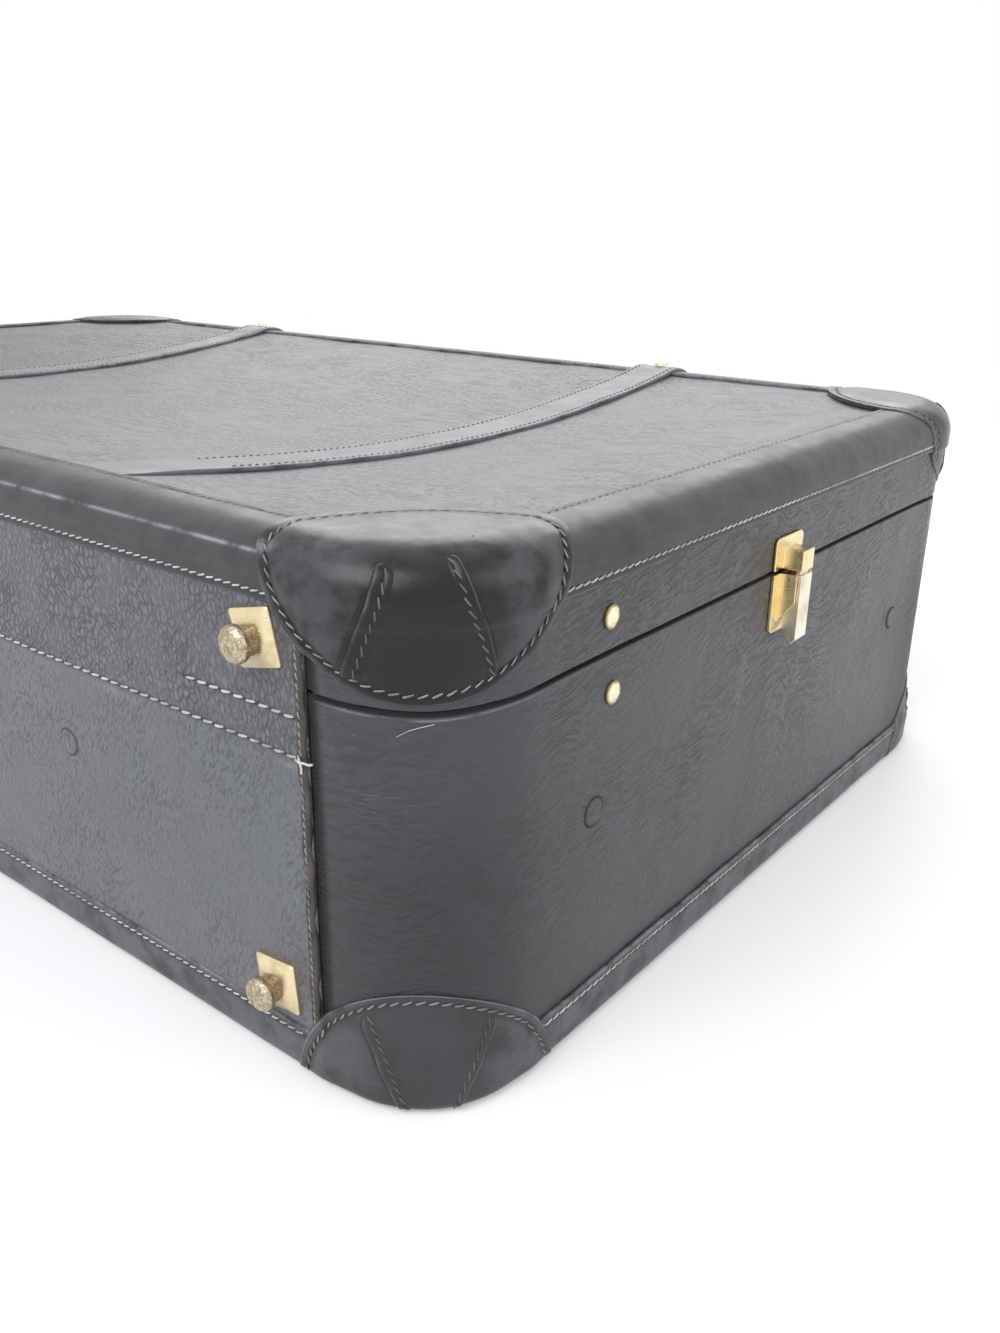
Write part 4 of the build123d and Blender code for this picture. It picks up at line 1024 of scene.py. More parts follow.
class CornerCap:
    """The ground of one corner cap: side is measured across the corner, run along its edge profile."""

    def __init__(self, signs, edge):
        sizes = shape()
        self.signs = signs
        self.edge = edge
        self.body = edge.body
        lid = edge.rise > 0
        self.leather = "cap_leather" if lid else "trim_leather"
        self.half_width = sizes.cap_half_width if lid else sizes.cap_half_width - 3 * MM
        self.shift = -2 * MM if lid else -1 * MM
        self.tilt = 0.0 if lid else 0.1
        self.middle = 8.5 * MM if lid else edge.quarter
        drop = sizes.lid_cap_drop if lid else sizes.base_cap_rise - edge.level
        self.drop = self.middle + drop

    def inset(self, side, outward):
        """Distance from the sharp corner, along its diagonal, to the outline grown by outward."""
        corner = shape().corner_radius
        reach = corner + outward
        bent = corner * math.sqrt(2) - np.sqrt(np.maximum(reach ** 2 - side ** 2, 0))
        straight = np.abs(side) - outward * math.sqrt(2)
        return np.where(np.abs(side) <= reach / math.sqrt(2), bent, straight)

    def point(self, side, run, lift):
        """Points of the corner for places on the cap and a lift above the wall leather."""
        x_sign, y_sign = self.signs
        outward, inward, height = self.edge.at(run, lift)
        gathered = 1.5 * MM * (bell(side, 15 * MM) - bell(np.abs(side) - 32 * MM, 9 * MM))
        near_flat = smooth_step(run, self.edge.low, self.edge.quarter / 2)
        outward = outward + self.edge.flat_lift * gathered * near_flat
        deep = (self.inset(side, outward) + inward) / math.sqrt(2)
        across = side / math.sqrt(2)
        x = x_sign * (HALF_LENGTH - deep + across)
        y = y_sign * (HALF_DEPTH - deep - across)
        return points_at(x, y, height)

    def ground(self, side, run):
        """Lift of what the cap lies on: the wall, the binding, or the back panel's end."""
        ground = self.edge.ground(run)
        if self.signs[1] > 0:
            from_end = (self.inset(side, 0) - side) / math.sqrt(2)
            edge = HALF_LENGTH - PANEL_HALF
            panel = (PANEL_FACE + 0.35 * MM) * smooth_step(from_end, edge - 2.5 * MM, edge)
            ground = np.maximum(ground, panel * (run < self.edge.quarter))
        return ground

    def thickness(self, inset):
        """The cap's own thickness at a distance from its outline: thin at the edge, dipped along its row."""
        thin = shape().cap_edge
        near = np.clip(inset / (0.5 * MM), 0, 1)
        rounded = np.sqrt(near * (2 - near))
        full = 0.45 * thin + 0.55 * thin * rounded + (CAP - thin) * smooth_step(inset, 3 * MM, 9 * MM)
        return full - pressed(inset, [stitching().inset])

    def from_outline(self, side, run):
        """About how far a place on the wall part lies within the outline."""
        across = (side - self.shift) / self.half_width
        along = np.minimum(run - self.middle - self.tilt * side, 0) / self.drop
        share = np.maximum(np.hypot(across, along), 0.01)
        return (1 - share) * np.hypot(across * self.half_width, along * self.drop) / share

    def top(self, side, run, lift):
        """Points above the cap's face by a lift."""
        on_top = self.ground(side, run) + self.thickness(np.maximum(self.from_outline(side, run), 0)) + lift
        return self.point(side, run, on_top)

    def top_run(self, side):
        """The run at the cap's edge on the flat face, a wide arc seen from above."""
        sizes = shape()
        edge = sizes.cap_reach - side ** 2 / (2 * sizes.cap_edge_radius)
        return self.edge.inner(edge - self.inset(side, -self.edge.turned_in) + self.edge.turned_in)

    def outline(self, count, inset=0.0):
        """The cap's outline: half an ellipse on the wall, and a squared arch over the flat face."""
        turn = np.linspace(0, 2 * math.pi, 4001)[:-1]
        across, along = np.cos(turn), np.sin(turn)
        arch = np.sign(across) * np.abs(across) ** 0.42
        side = self.shift + self.half_width * np.where(along > 0, arch, across)
        over = (self.top_run(side) - self.middle) * np.abs(along) ** 0.42
        run = self.middle + np.where(along > 0, over, self.drop * along + self.tilt * side * along ** 2)
        spots = np.stack([side, run], axis=-1)
        if inset:
            ahead = np.roll(spots, -5, axis=0) - np.roll(spots, 5, axis=0)
            inward = np.stack([-ahead[:, 1], ahead[:, 0]], axis=-1)
            spots = spots + inset * inward / np.linalg.norm(inward, axis=-1, keepdims=True)
        steps = np.linalg.norm(np.diff(spots, axis=0, append=spots[:1]), axis=-1)
        travelled = np.concatenate([[0], np.cumsum(steps)])
        at = np.linspace(0, travelled[-1], count, endpoint=False)
        closed = np.concatenate([spots, spots[:1]])
        return np.stack([np.interp(at, travelled, closed[:, k]) for k in (0, 1)], axis=-1)

    def flipped(self):
        """Whether faces made in side and run order point inward."""
        return self.signs[0] * self.signs[1] * self.edge.rise > 0


def corner_caps():
    """Each corner's name with its lid cap, and then with its base cap."""
    for name, signs in CORNERS.items():
        for edge in EDGES:
            yield name, CornerCap(signs, edge)


def build_corner_caps():
    """Eight corner caps: rings out to the outline underneath, then over the edge to the middle."""
    count = 220
    insets = np.array([0, 0.04, 0.15, 0.35, 0.7, 1.2, 1.8, 2.3, 2.7, 3.0, 3.3, 3.7, 4.3, 5.2, 6.5, 8.5]) * MM
    for name, cap in corner_caps():
        outline = cap.outline(count)
        middle = np.array([cap.shift, cap.middle + 6 * MM])
        inner = cap.outline(count, insets[-1])
        under = [(middle + (outline - middle) * share, 0 * MM) for share in (0, 0.5, 1)]
        border = [(cap.outline(count, inset), cap.thickness(inset)) for inset in insets]
        centre = [(middle + (inner - middle) * share, CAP) for share in np.linspace(1, 0, 30)[1:]]
        rings = under + border + centre
        sides = np.stack([spots[:, 0] for spots, thick in rings])
        runs = np.stack([spots[:, 1] for spots, thick in rings])
        thick = np.stack([np.full(count, thick) for spots, thick in rings])
        uneven = unevenness(sides, runs, 0.15 * MM) * (thick > shape().cap_edge)
        lifts = np.where(thick > 0, cap.ground(sides, runs) + thick + uneven, 0.05 * MM)
        shares = np.zeros(len(rings))
        on_border = shares[len(under):len(under) + insets.size]
        on_border[1:3] = 0.35, 0.4
        # Painted shade in the stitch row's groove
        on_border -= 0.6 * pressed(insets, [stitching().inset]) / stitching().groove_depth
        # Paler towards the cap's sides and over its top: partly dust, partly painted sheen
        dust_and_sheen = 0.13 * smooth_step(np.abs(sides), 12 * MM, 30 * MM)
        dust_and_sheen = dust_and_sheen + 0.10 * smooth_step(runs, 0.2 * cap.edge.quarter, 0.7 * cap.edge.quarter)
        frayed = 0.8 * bell(np.hypot(sides + cap.half_width, runs - 10 * MM), 3 * MM)
        worn = shares[:, None] + dust_and_sheen + frayed * (cap.edge.rise > 0)
        piece = surface(f"{cap.body}_cap_leather_{name}", cap.point(sides, runs, lifts), cap.leather,
                        cap.body, wrap=(False, True), wear=worn, merge=True,
                        flip=not cap.flipped())
        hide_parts(f"{cap.body}_cap_{name}")


class Dart:
    """A lapped seam in a cap: a step on one side and a row of stitches on the other.

    Each side is a parabola through three places, given as side and run in millimetres.
    """

    def __init__(self, step, seam):
        self.step = np.array(step) * MM
        self.seam = np.array(seam) * MM

    @staticmethod
    def on(places, share):
        """The parabola through three places, which it meets at shares 0, 1/2 and 1."""
        share = np.asarray(share)[..., None]
        first, middle, last = places
        return (first * (2 * share - 1) * (share - 1) + middle * 4 * share * (1 - share)
                + last * share * (2 * share - 1))


DARTS = {
    "lid": (
        Dart(((-14.2, 10.4), (-21.0, -7.0), (-26.7, -24.0)), ((-11.2, 9.4), (-17.0, -7.6), (-23.2, -25.6))),
        Dart(((8.2, 12.4), (16.6, -4.3), (20.6, -22.0)), ((6.0, 12.6), (14.0, -6.2), (19.9, -25.6))),
    ),
    "base": (
        Dart(((-24.0, -31.0), (-18.6, -14.5), (-11.2, 4.0)), ((-21.4, -34.0), (-15.2, -14.7), (-8.6, 4.5))),
        Dart(((22.6, -27.5), (16.2, -12.5), (8.4, 4.0)), ((20.4, -30.5), (13.8, -12.5), (6.0, 4.5))),
    ),
}


def build_darts():
    """Lapped seams that take up the fullness of each cap: a raised flap with a stepped outer edge."""
    width = np.array([-0.5, -0.48, -0.25, -0.07, -0.05, 0.02, 0.12, 0.3, 0.6, 0.85, 1.0, 1.15, 1.4, 1.7, 1.7,
                      0.5, -0.5])
    rise = np.array([-0.6, 0.02, 0.07, 0.09, 0.5, 0.85, 0.98, 0.92, 0.75, 0.5, 0.3, 0.4, 0.22, 0.0, -0.6,
                     -0.6, -0.6]) * MM
    share = np.linspace(0, 1, 48)
    fade = np.sqrt(np.clip(np.minimum(share, 1.02 - share) / 0.05, 0, 1))[:, None]
    # A pale line on the step's top, partly rubbed and partly painted highlight; painted shadow at the step's
    # foot and just outside it; painted shade in the seam's groove
    marks = np.where((width > 0.0) & (width < 0.2), 0.22, 0) - 0.7 * (np.abs(width - 1) < 0.1)
    marks = marks - 0.95 * (np.abs(width + 0.06) < 0.02) - 0.45 * (width == -0.25)
    for name, cap in corner_caps():
        for number, dart in enumerate(DARTS[cap.body]):
            outer, inner = dart.on(dart.step, share), dart.on(dart.seam, share)
            narrowed = 0.5 + (width - 0.5) * np.where(fade < 1, 0.35 + 0.65 * fade, 1)
            places = outer[:, None] + (inner - outer)[:, None] * narrowed[..., None]
            level = cap.top(places[..., 0], places[..., 1], np.minimum(rise * fade, rise))
            inward = outer[0, 0] < 0
            surface(f"{cap.body}_dart_{name}_{number}", level, cap.leather, cap.body,
                    wrap=(False, True), ends=True, wear=marks,
                    flip=(cap.signs[0] * cap.signs[1] > 0) != inward)


def strap_path(x):
    """Places and heights under a strap, from under the back binding to its end on the front wall."""
    sizes = shape()
    reach = sizes.binding_reach
    end_run = STRAP[0].z - LID_LEVEL
    y = np.linspace(HALF_DEPTH - reach + 3 * MM, reach - HALF_DEPTH + 9 * MM, 150)
    over = np.linspace(LID_EDGE.inner(reach) - 3 * MM, end_run, 70)
    outward, inward, height = LID_EDGE.at(over, BINDING)
    places = np.concatenate([y, -(HALF_DEPTH + outward - inward)])
    heights = np.concatenate([lid_face(x, y), height])
    kernel = np.hanning(13)
    padded = np.stack([np.pad(values, 6, mode="reflect", reflect_type="odd") for values in (places, heights)])
    return np.stack([np.convolve(values, kernel / kernel.sum(), "valid") for values in padded], axis=-1)


def strap_frame(x):
    """A strap's path with its upward normal and its thickness, thin where it leaves the back binding."""
    path = strap_path(x)
    ahead = unit(np.gradient(path, axis=0))
    normal = np.stack([ahead[:, 1], -ahead[:, 0]], axis=-1)
    full = STRAP[1].z - LID_TOP
    thick = 0.8 * full * (0.4 + 0.6 * smooth_step(HALF_DEPTH - path[:, 0], 26 * MM, 60 * MM))
    return path, normal, thick


def strap_wander(side, y):
    """How far a strap strays sideways along its length."""
    return 0.5 * MM * np.sin(y * 19 + side)


def build_straps():
    """Two straps: a rounded section carried along the lid's sag and over its front edge."""
    half = STRAP_HALF
    turn = np.linspace(0, math.pi / 2, 5)
    rounding = 0.3
    edge = 1.2 * MM
    rows = [side * (half - stitching().inset) for side in (-1, 1)]
    face = with_rows(np.linspace(edge - half, half - edge, 14), rows)
    across = np.concatenate([
        [-half], -half + edge * (1 - np.cos(turn[:-1])), face, half - edge * (1 - np.sin(turn[1:])),
        [half], [half / 2, 0, -half / 2],
    ])
    rise = np.concatenate([
        [0], 1 - rounding + rounding * np.sin(turn[:-1]), np.ones(face.size),
        1 - rounding + rounding * np.cos(turn[1:]), [0], [0, 0, 0],
    ])
    for name, side in SIDES.items():
        path, normal, thick = strap_frame(side * STRAP_MIDDLE)
        wander = strap_wander(side, path[:, :1])
        height = rise * thick[:, None] + unevenness(path[:, :1], across, 0.12 * MM) * (rise > 0.5)
        height = height - pressed(across, rows) * (rise == 1)
        x = side * STRAP_MIDDLE + across + wander
        y = path[:, :1] + normal[:, :1] * height
        z = path[:, 1:] + normal[:, 1:] * height
        worn = np.where((rise > 0.6) & (np.abs(across) > half - 1.3 * MM), 0.5, 0.0)
        piece = surface(f"strap_leather_{name}", points_at(x, y, z), "strap_leather", "lid",
                        wrap=(False, True), ends=True, wear=worn)
        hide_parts(f"lid_strap_{name}")


def spaced(points, normals, pitch):
    """Even places along a path of points, each with the path's direction and normal there."""
    steps = np.linalg.norm(np.diff(points, axis=0), axis=-1)
    travelled = np.concatenate([[0], np.cumsum(steps)])
    count = max(int(travelled[-1] / pitch), 1)
    at = (np.arange(count) + 0.5) * travelled[-1] / count

    def along(values, where):
        return np.stack([np.interp(where, travelled, values[:, k]) for k in range(3)], axis=-1)

    direction = along(points, at + pitch / 4) - along(points, at - pitch / 4)
    return along(points, at), direction, along(normals, at)


def raised_row(place, where, lift, pitch):
    """Places of a row of stitches on the points that place gives for what is in where and a lift.

    The stitches stand up in the direction in which the points move as the lift grows.
    """
    points = place(*where, lift)
    return spaced(points, place(*where, lift + MM) - points, pitch)


def stitches(name, spots, size, material, body, thread, slant=0.35):
    """Stitches as one piece: each a thin tube that dives into the leather at both ends.

    The tube's middle line runs along the row with a small slant, and rises as a flat arch. Its
    thickness stays nearly full and falls away at the ends, as the root of 1 - 0.9 share ** 4.
    """
    centre, direction, normal = spots
    direction = unit(direction)
    normal = unit(normal)
    aside = np.cross(normal, direction)
    share = np.array([-1, -0.72, 0, 0.72, 1])
    angle = np.arange(TUBE_SIDES) * math.pi / (TUBE_SIDES / 2)
    radius = thread / 2 * np.sqrt(1 - 0.9 * share ** 4)
    arch = thread / 2 * (0.55 - 1.3 * share ** 4)
    step = (share * size / 2)[:, None]
    up = arch[:, None] + radius[:, None] * np.cos(angle)
    out = radius[:, None] * np.sin(angle) + slant * step
    points = (
        centre[:, None, None] + direction[:, None, None] * step[..., None]
        + normal[:, None, None] * up[..., None] + aside[:, None, None] * out[..., None]
    )
    points_each = share.size * TUBE_SIDES
    first = np.arange(centre.shape[0])[:, None, None] * points_each
    ring = first + np.arange(share.size - 1)[:, None] * TUBE_SIDES
    point = np.arange(TUBE_SIDES)
    after = (point + 1) % TUBE_SIDES
    quads = np.stack([ring + point, ring + TUBE_SIDES + point, ring + TUBE_SIDES + after, ring + after],
                     axis=-1).reshape(-1, 4)
    starts = first[:, 0] + point
    stops = first[:, 0] + points_each - TUBE_SIDES + point[::-1]
    faces = quads.tolist() + starts.tolist() + stops.tolist()
    return mesh_piece(name, points.reshape(-1, 3), faces, material, body,
                      crease=80, flip=True)


def edge_row(edge, run, pitch, lift):
    """Places of a row of stitches round an edge, left out where the caps cover it."""
    places = stations(straight=2 * MM, bend=1 * MM)
    centre, direction, normal = raised_row(edge_points, (edge, places, run), lift, pitch)
    hidden = np.zeros(centre.shape[0], bool)
    side = corner_side(centre)
    for x_sign, y_sign in CORNERS.values():
        here = (centre[:, 0] * x_sign > 0) & (centre[:, 1] * y_sign > 0)
        cap = CornerCap((x_sign, y_sign), edge)
        if run < edge.quarter:
            covered = cap.from_outline(side, run) > 1.5 * MM
        else:
            covered = run > cap.top_run(side) + 1.5 * MM
            covered = (np.abs(side) < cap.half_width) & ~covered
        hidden |= here & covered
    free = ~hidden
    return centre[free], direction[free], normal[free]


def joined(rows):
    """Several rows' places as one."""
    return tuple(np.concatenate(values) for values in zip(*rows))


def build_stitching():
    """The thread in bindings, back panel, caps and straps."""
    sizes = stitching()
    bed = BINDING - sizes.groove_depth
    for edge, pitch in ((LID_EDGE, sizes.edge_pitch), (BASE_EDGE, sizes.base_pitch)):
        rows = binding_rows(edge)
        stitches(f"{edge.body}_binding_stitches", edge_row(edge, rows[0], pitch, bed), 0.98 * pitch,
                 "light_thread", edge.body, 0.82 * sizes.thread, slant=0.22)
        if len(rows) > 1:
            stitches("lid_binding_inner_stitches", edge_row(edge, rows[1], pitch, bed), 0.86 * pitch,
                     "grey_thread", edge.body, sizes.fine_thread)
    build_panel_stitching()
    build_cap_stitching()
    build_strap_stitching()
    build_loose_ends()


def back_row(points, pitch):
    """Places of a row of stitches that stands out from the back."""
    return spaced(points, np.broadcast_to([0.0, 1.0, 0.0], points.shape), pitch)


def panel_row(start, stop, level, pitch):
    """Places of a level row of stitches in the back panel's face."""
    x = np.linspace(start, stop, 400)
    return back_row(points_at(x, HALF_DEPTH + panel_face(x, level), level), pitch)


def build_panel_stitching():
    """The rows in the back panel: one under the hinge, short ones at its corners, and both ends."""
    sizes = stitching()
    welt = shape().welt_width
    edge = PANEL_HALF - welt
    rows = [panel_row(edge, -edge, SEAM, sizes.hinge_pitch)]
    for side in SIDES.values():
        rows.append(panel_row(side * edge, side * (edge - SHORT_ROW), SHORT_SEAM, sizes.hinge_pitch))
    stitches("panel_seam_stitches", joined(rows), 0.86 * sizes.hinge_pitch, "light_thread", "base",
             1.15 * sizes.thread, slant=0.12)
    face = HALF_DEPTH + PANEL_FACE + shape().welt_rise - WELT_GROOVE
    ends = []
    for side in SIDES.values():
        x = side * (PANEL_HALF - welt / 2)
        points = np.linspace((x, face, BASE_BINDING_EDGE + 4 * MM), (x, face, LID_BINDING_EDGE), 200)
        ends.append(back_row(points, sizes.panel_pitch))
    hinged(stitches("panel_end_stitches", joined(ends), 0.85 * sizes.panel_pitch, "grey_thread", None,
                    0.9 * sizes.fine_thread))


def build_cap_stitching():
    """A row inside each cap's outline, and one beside each dart."""
    sizes = stitching()
    bed = 0.28 * MM
    above_floor = 2.5 * MM
    for edge in EDGES:
        rows, seams = [], []
        for signs in CORNERS.values():
            cap = CornerCap(signs, edge)
            spots = cap.outline(600, sizes.inset)
            side, run = np.concatenate([spots, spots[:1]]).T
            lift = cap.ground(side, run) + cap.thickness(sizes.inset)
            rows.append(raised_row(cap.point, (side, run), lift, sizes.cap_pitch))
            for dart in DARTS[cap.body]:
                seam = dart.on(dart.seam, np.linspace(0.02, 0.98, 80)).T
                seams.append(raised_row(cap.top, seam, bed, 0.9 * sizes.cap_pitch))
        for name, places, thread in (("cap", rows, "grey_thread"), ("dart", seams, "dark_thread")):
            centre, direction, normal = joined(places)
            shown = centre[:, 2] > above_floor
            spots = centre[shown], direction[shown], normal[shown]
            stitches(f"{edge.body}_{name}_stitches", spots, 0.88 * sizes.cap_pitch, thread, edge.body,
                     sizes.fine_thread)


def strand(name, places, thick, material, body):
    """A loose end of thread: a thin tube along a smooth curve through a few places.

    The curve joins each place to the next by a cubic that leaves along the line between its
    neighbours.
    """
    places = np.array(places, float)
    slope = np.gradient(places, axis=0)
    share = np.linspace(0, 1, 7)[:-1, None]
    path = []
    for number in range(len(places) - 1):
        first, last = places[number], places[number + 1]
        path.append((1 + 2 * share) * (1 - share) ** 2 * first + share * (1 - share) ** 2 * slope[number]
                    + share ** 2 * (3 - 2 * share) * last + share ** 2 * (share - 1) * slope[number + 1])
    path = np.concatenate([*path, places[-1:]])
    ahead = unit(np.gradient(path, axis=0))
    aside = unit(np.cross(ahead, (0.3, 0.2, 1.0)))
    over = np.cross(aside, ahead)
    angle = np.arange(TUBE_SIDES) * math.pi / (TUBE_SIDES / 2)
    ring = aside[:, None] * np.cos(angle)[:, None] + over[:, None] * np.sin(angle)[:, None]
    surface(name, path[:, None] + 0.5 * thick * ring, material, body, wrap=(False, True),
            ends=True, flip=True)


def build_loose_ends():
    """Thread ends left at the back panel's seam, and a fibre caught on the rim by a corner."""
    thick = stitching().fine_thread
    face = HALF_DEPTH + PANEL_FACE + shape().welt_rise
    tails = {
        "long": ((-3, -0.8, -0.6), (0, 0.5, -0.2), (2, 0.6, 0.2), (4.2, 0.2, 0.1), (5.6, 0.0, 0.6)),
        "short": ((-1.5, -0.8, 1.5), (0, 0.5, 0.5), (1.0, 0.6, -1.8), (0.6, 0.3, -4.0)),
    }
    for name, side in SIDES.items():
        start = np.array([side * (PANEL_HALF - shape().welt_width / 2), face, SEAM])
        away = np.array([side, 1, 1]) * MM
        for tail, steps in tails.items():
            strand(f"seam_tail_{name}_{tail}", start + away * steps, thick, "light_thread", "base")
    cap = CornerCap(CORNERS["back_left"], LID_EDGE)
    curl = ((-10.0, 9.6, 0.1), (-6.5, 7.4, 0.5), (-2.5, 6.2, 0.4), (1.5, 5.4, 0.2))
    side, drop, lift = MM * np.transpose(curl)
    strand("loose_fibre", cap.point(side, HINGE - LID_LEVEL - drop, lift), 0.2 * MM, "light_thread", "base")


def build_strap_stitching():
    """Two rows in each strap, near its edges, from the back binding to just before the front end."""
    sizes = stitching()
    sewn = slice(22, -3)
    rows = []
    for side in SIDES.values():
        path, normal, thick = strap_frame(side * STRAP_MIDDLE)
        wander = strap_wander(side, path[:, 0])
        top = path + normal * (thick[:, None] - sizes.groove_depth)
        for edge in (-1, 1):
            x = side * STRAP_MIDDLE + edge * (STRAP_HALF - sizes.inset) + wander
            points = np.column_stack([x, top])[sewn]
            normals = np.column_stack([np.zeros(x.size), normal])[sewn]
            rows.append(spaced(points, normals, sizes.strap_pitch))
    stitches("strap_stitches", joined(rows), 0.75 * sizes.strap_pitch, "dark_thread", "lid",
             sizes.fine_thread)


def turned(profile, count, origin, axis, up):
    """A profile of radii and heights turned about an axis through origin: rows round, columns along."""
    axis = np.array(axis, float)
    up = np.array(up, float)
    aside = np.cross(axis, up)
    angle = np.linspace(0, 2 * math.pi, count, endpoint=False)[:, None, None]
    radius = np.array(profile)[None, :, :1]
    height = np.array(profile)[None, :, 1:]
    ray = up * np.cos(angle) + aside * np.sin(angle)
    return np.array(origin, float) + radius * ray + height * axis


def build_covered_rivets():
    """Rivet heads under the leather: low domes, each with a pressed ring round it."""
    points = np.array([v.co for v in frame["nodes"]["covered_rivets"].data.vertices])
    radius = 6.2 * MM
    share = np.linspace(0, 1, 26)
    dome = 0.42 * MM * smooth_step(share, 0.86, 0.78) + 0.1 * MM * smooth_step(share, 1.0, 0.94)
    dome = dome + 0.08 * MM * np.cos(share * math.pi / 2)
    profile = np.column_stack([share * radius, dome])[::-1]
    level = (points[:, 2].min() + points[:, 2].max()) / 2
    ends_at = np.abs(points[np.abs(points[:, 0]) > HALF_LENGTH - MM][:, 1]).mean()
    back_at = np.abs(points[points[:, 1] > HALF_DEPTH - MM][:, 0]).mean()
    seats = []
    for side in SIDES.values():
        for depth in (-1, 1):
            seats.append(((side * HALF_LENGTH, depth * ends_at, level), (side, 0, 0), "wall_leather"))
        seats.append(((side * back_at, HALF_DEPTH + PANEL_FACE, level), (0, 1, 0), "back_leather"))
    # Painted shade in the pressed ring round each head
    ring = -0.95 * bell(share[::-1] - 0.91, 0.05)
    for number, (origin, axis, leather) in enumerate(seats):
        grid = turned(profile, 32, np.array(origin) - RIVET_SINK * np.array(axis, float), axis, (0, 0, 1))
        piece = surface(f"covered_rivet_{number}", grid, leather, "base",
                        wrap=(True, False), merge=True, wear=ring)
        finished_with(piece, "SOLIDIFY", thickness=0.2 * MM, offset=-1)
        if number == 0:
            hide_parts("covered_rivets")


def build_feet():
    """The feet: square plates with four softened slopes, and rough mushroom studs on them."""
    radius = 6.5 * MM
    root = -3.5 * MM
    share = np.linspace(0, 1, 14) * math.pi / 2
    # Darker at the rim's top edge and in the middle round the stud
    darkening = np.array([0, 0, -0.5, -0.1, 0, 0, 0, -0.15, -0.55, -0.7, -0.7, -0.7])
    # Painted shade on the slopes that face down
    under = np.clip(-np.cos(np.linspace(0, 2 * math.pi, 96, endpoint=False)), 0, 1)[:, None]
    sloping = np.array([0, 0, 0, 0, 0.3, 1, 1, 1, 0.5, 0, 0, 0])
    for body, askew in (("lid", 0.24), ("base", 0.1)):
        low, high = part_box(f"{body}_foot_studs")
        plate_low, plate_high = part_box(f"{body}_foot_plates")
        face = plate_high.y
        centre = (high.z + low.z) / 2
        reach = high.y - face
        neck = np.array([root, root, 0.3 * reach, 0.36 * reach, 0.4 * reach, 0.48 * reach])
        profile = np.column_stack([
            radius * np.concatenate([[0, 0.8, 0.8, 0.83, 0.94, 0.99], np.cos(share) ** 0.6]),
            np.concatenate([face + neck, face + reach * (0.62 + 0.36 * np.sin(share))]),
        ])
        half = (plate_high.z - plate_low.z) / 2
        for name, side in SIDES.items():
            middle = side * (plate_high.x - half)
            grid = turned(profile, 40, (middle, 0, centre), (0, 1, 0), (0, 0, 1))
            rough = np.abs(unevenness(grid[..., 0] * 9, grid[..., 2] * 11 + grid[..., 1] * 7, 0.25 * MM))
            grid[..., 1] -= rough * smooth_step(grid[..., 1], face + 0.5 * reach, face + 0.7 * reach)
            stud = surface(f"{body}_foot_stud_{name}", grid, "stud_metal", body,
                           wrap=(True, False), merge=True)
            grid = square_plate((middle, plate_low.y, centre), half, face - plate_low.y, -side * askew)
            plate = surface(f"{body}_foot_plate_{name}", grid, "plate_brass", body,
                            wrap=(True, False), merge=True, wear=darkening - 0.4 * under * sloping)
            if side > 0:
                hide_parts(f"{body}_foot_studs")
                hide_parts(f"{body}_foot_plates")


def square_plate(origin, half, height, askew):
    """A square plate on the back: a thin rim, four slopes and a flat middle, as rounded squares.

    Each ring is |u| ** p + |v| ** p = size ** p, with p falling from 22 at the rim inwards.
    """
    sizes = half * np.array([0, 1, 1, 0.985, 0.95, 0.9, 0.75, 0.6, 0.5, 0.42, 0.3, 0])
    lifts = height * np.array([-0.1, -0.1, 0.22, 0.3, 0.36, 0.44, 0.66, 0.86, 0.96, 1.0, 1.0, 1.0])
    power = np.array([22, 22, 22, 22, 20, 16, 10, 6, 4, 3, 2, 2])
    angle = np.linspace(0, 2 * math.pi, 96, endpoint=False)[:, None]
    across, up = np.abs(np.cos(angle)), np.abs(np.sin(angle))
    ring = sizes / (across ** power + up ** power) ** (1 / power)
    turn = angle + askew
    return np.array(origin, float) + points_at(ring * np.sin(turn), lifts, ring * np.cos(turn))


def build_stay_rivets():
    """The rivets of the stays: a round rim, six slopes and a flat middle, on a shank through the wall."""
    angle = np.linspace(0, 2 * math.pi, 48, endpoint=False)[:, None]
    turn = angle + 0.3
    facet = np.cos(math.pi / 6) / np.cos((angle + math.pi / 6) % (math.pi / 3) - math.pi / 6)
    for body in ("base", "lid"):
        node = f"{body}_stay_rivets"
        low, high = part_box(node)
        points = np.array([v.co for v in frame["nodes"][node].data.vertices])
        inside = np.abs(points[:, 0]).min()
        shank = 0.45 * (high.z - low.z) / 2
        radius = 0.9 * (high.z - low.z) / 2
        under = HALF_LENGTH - 0.4 * MM
        lip = HALF_LENGTH + 0.7 * MM
        crown = high.x - 0.1 * MM
        sizes = radius * np.array([0, shank / radius, shank / radius, 1, 1, 0.92, 0.78, 0.5, 0.44, 0])
        places = np.array([inside, inside, under, under, lip - 0.2 * MM, lip, 0.72 * lip + 0.28 * crown,
                           crown, high.x, high.x])
        faceted = np.array([0, 0, 0, 0, 0, 0, 1, 1, 1, 1])
        ring = sizes * (1 - faceted + faceted * facet)
        # Patina round the rim, and painted shade on the lower side of the faceted top
        rim_patina_and_side_shade = np.array([0, 0, -0.9, -0.9, -0.95, -0.9, 0, 0, 0, 0])
        rim_patina_and_side_shade = rim_patina_and_side_shade - 0.06 * faceted * (1 - np.cos(angle))
        for name, side in SIDES.items():
            grid = points_at(side * places, (low.y + high.y) / 2 + side * ring * np.sin(turn),
                             (low.z + high.z) / 2 + ring * np.cos(turn))
            piece = surface(f"{node}_{name}", grid, "rivet_brass", body, wrap=(True, False),
                            crease=22, merge=True, flip=True, wear=rim_patina_and_side_shade)
            if side > 0:
                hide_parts(node)


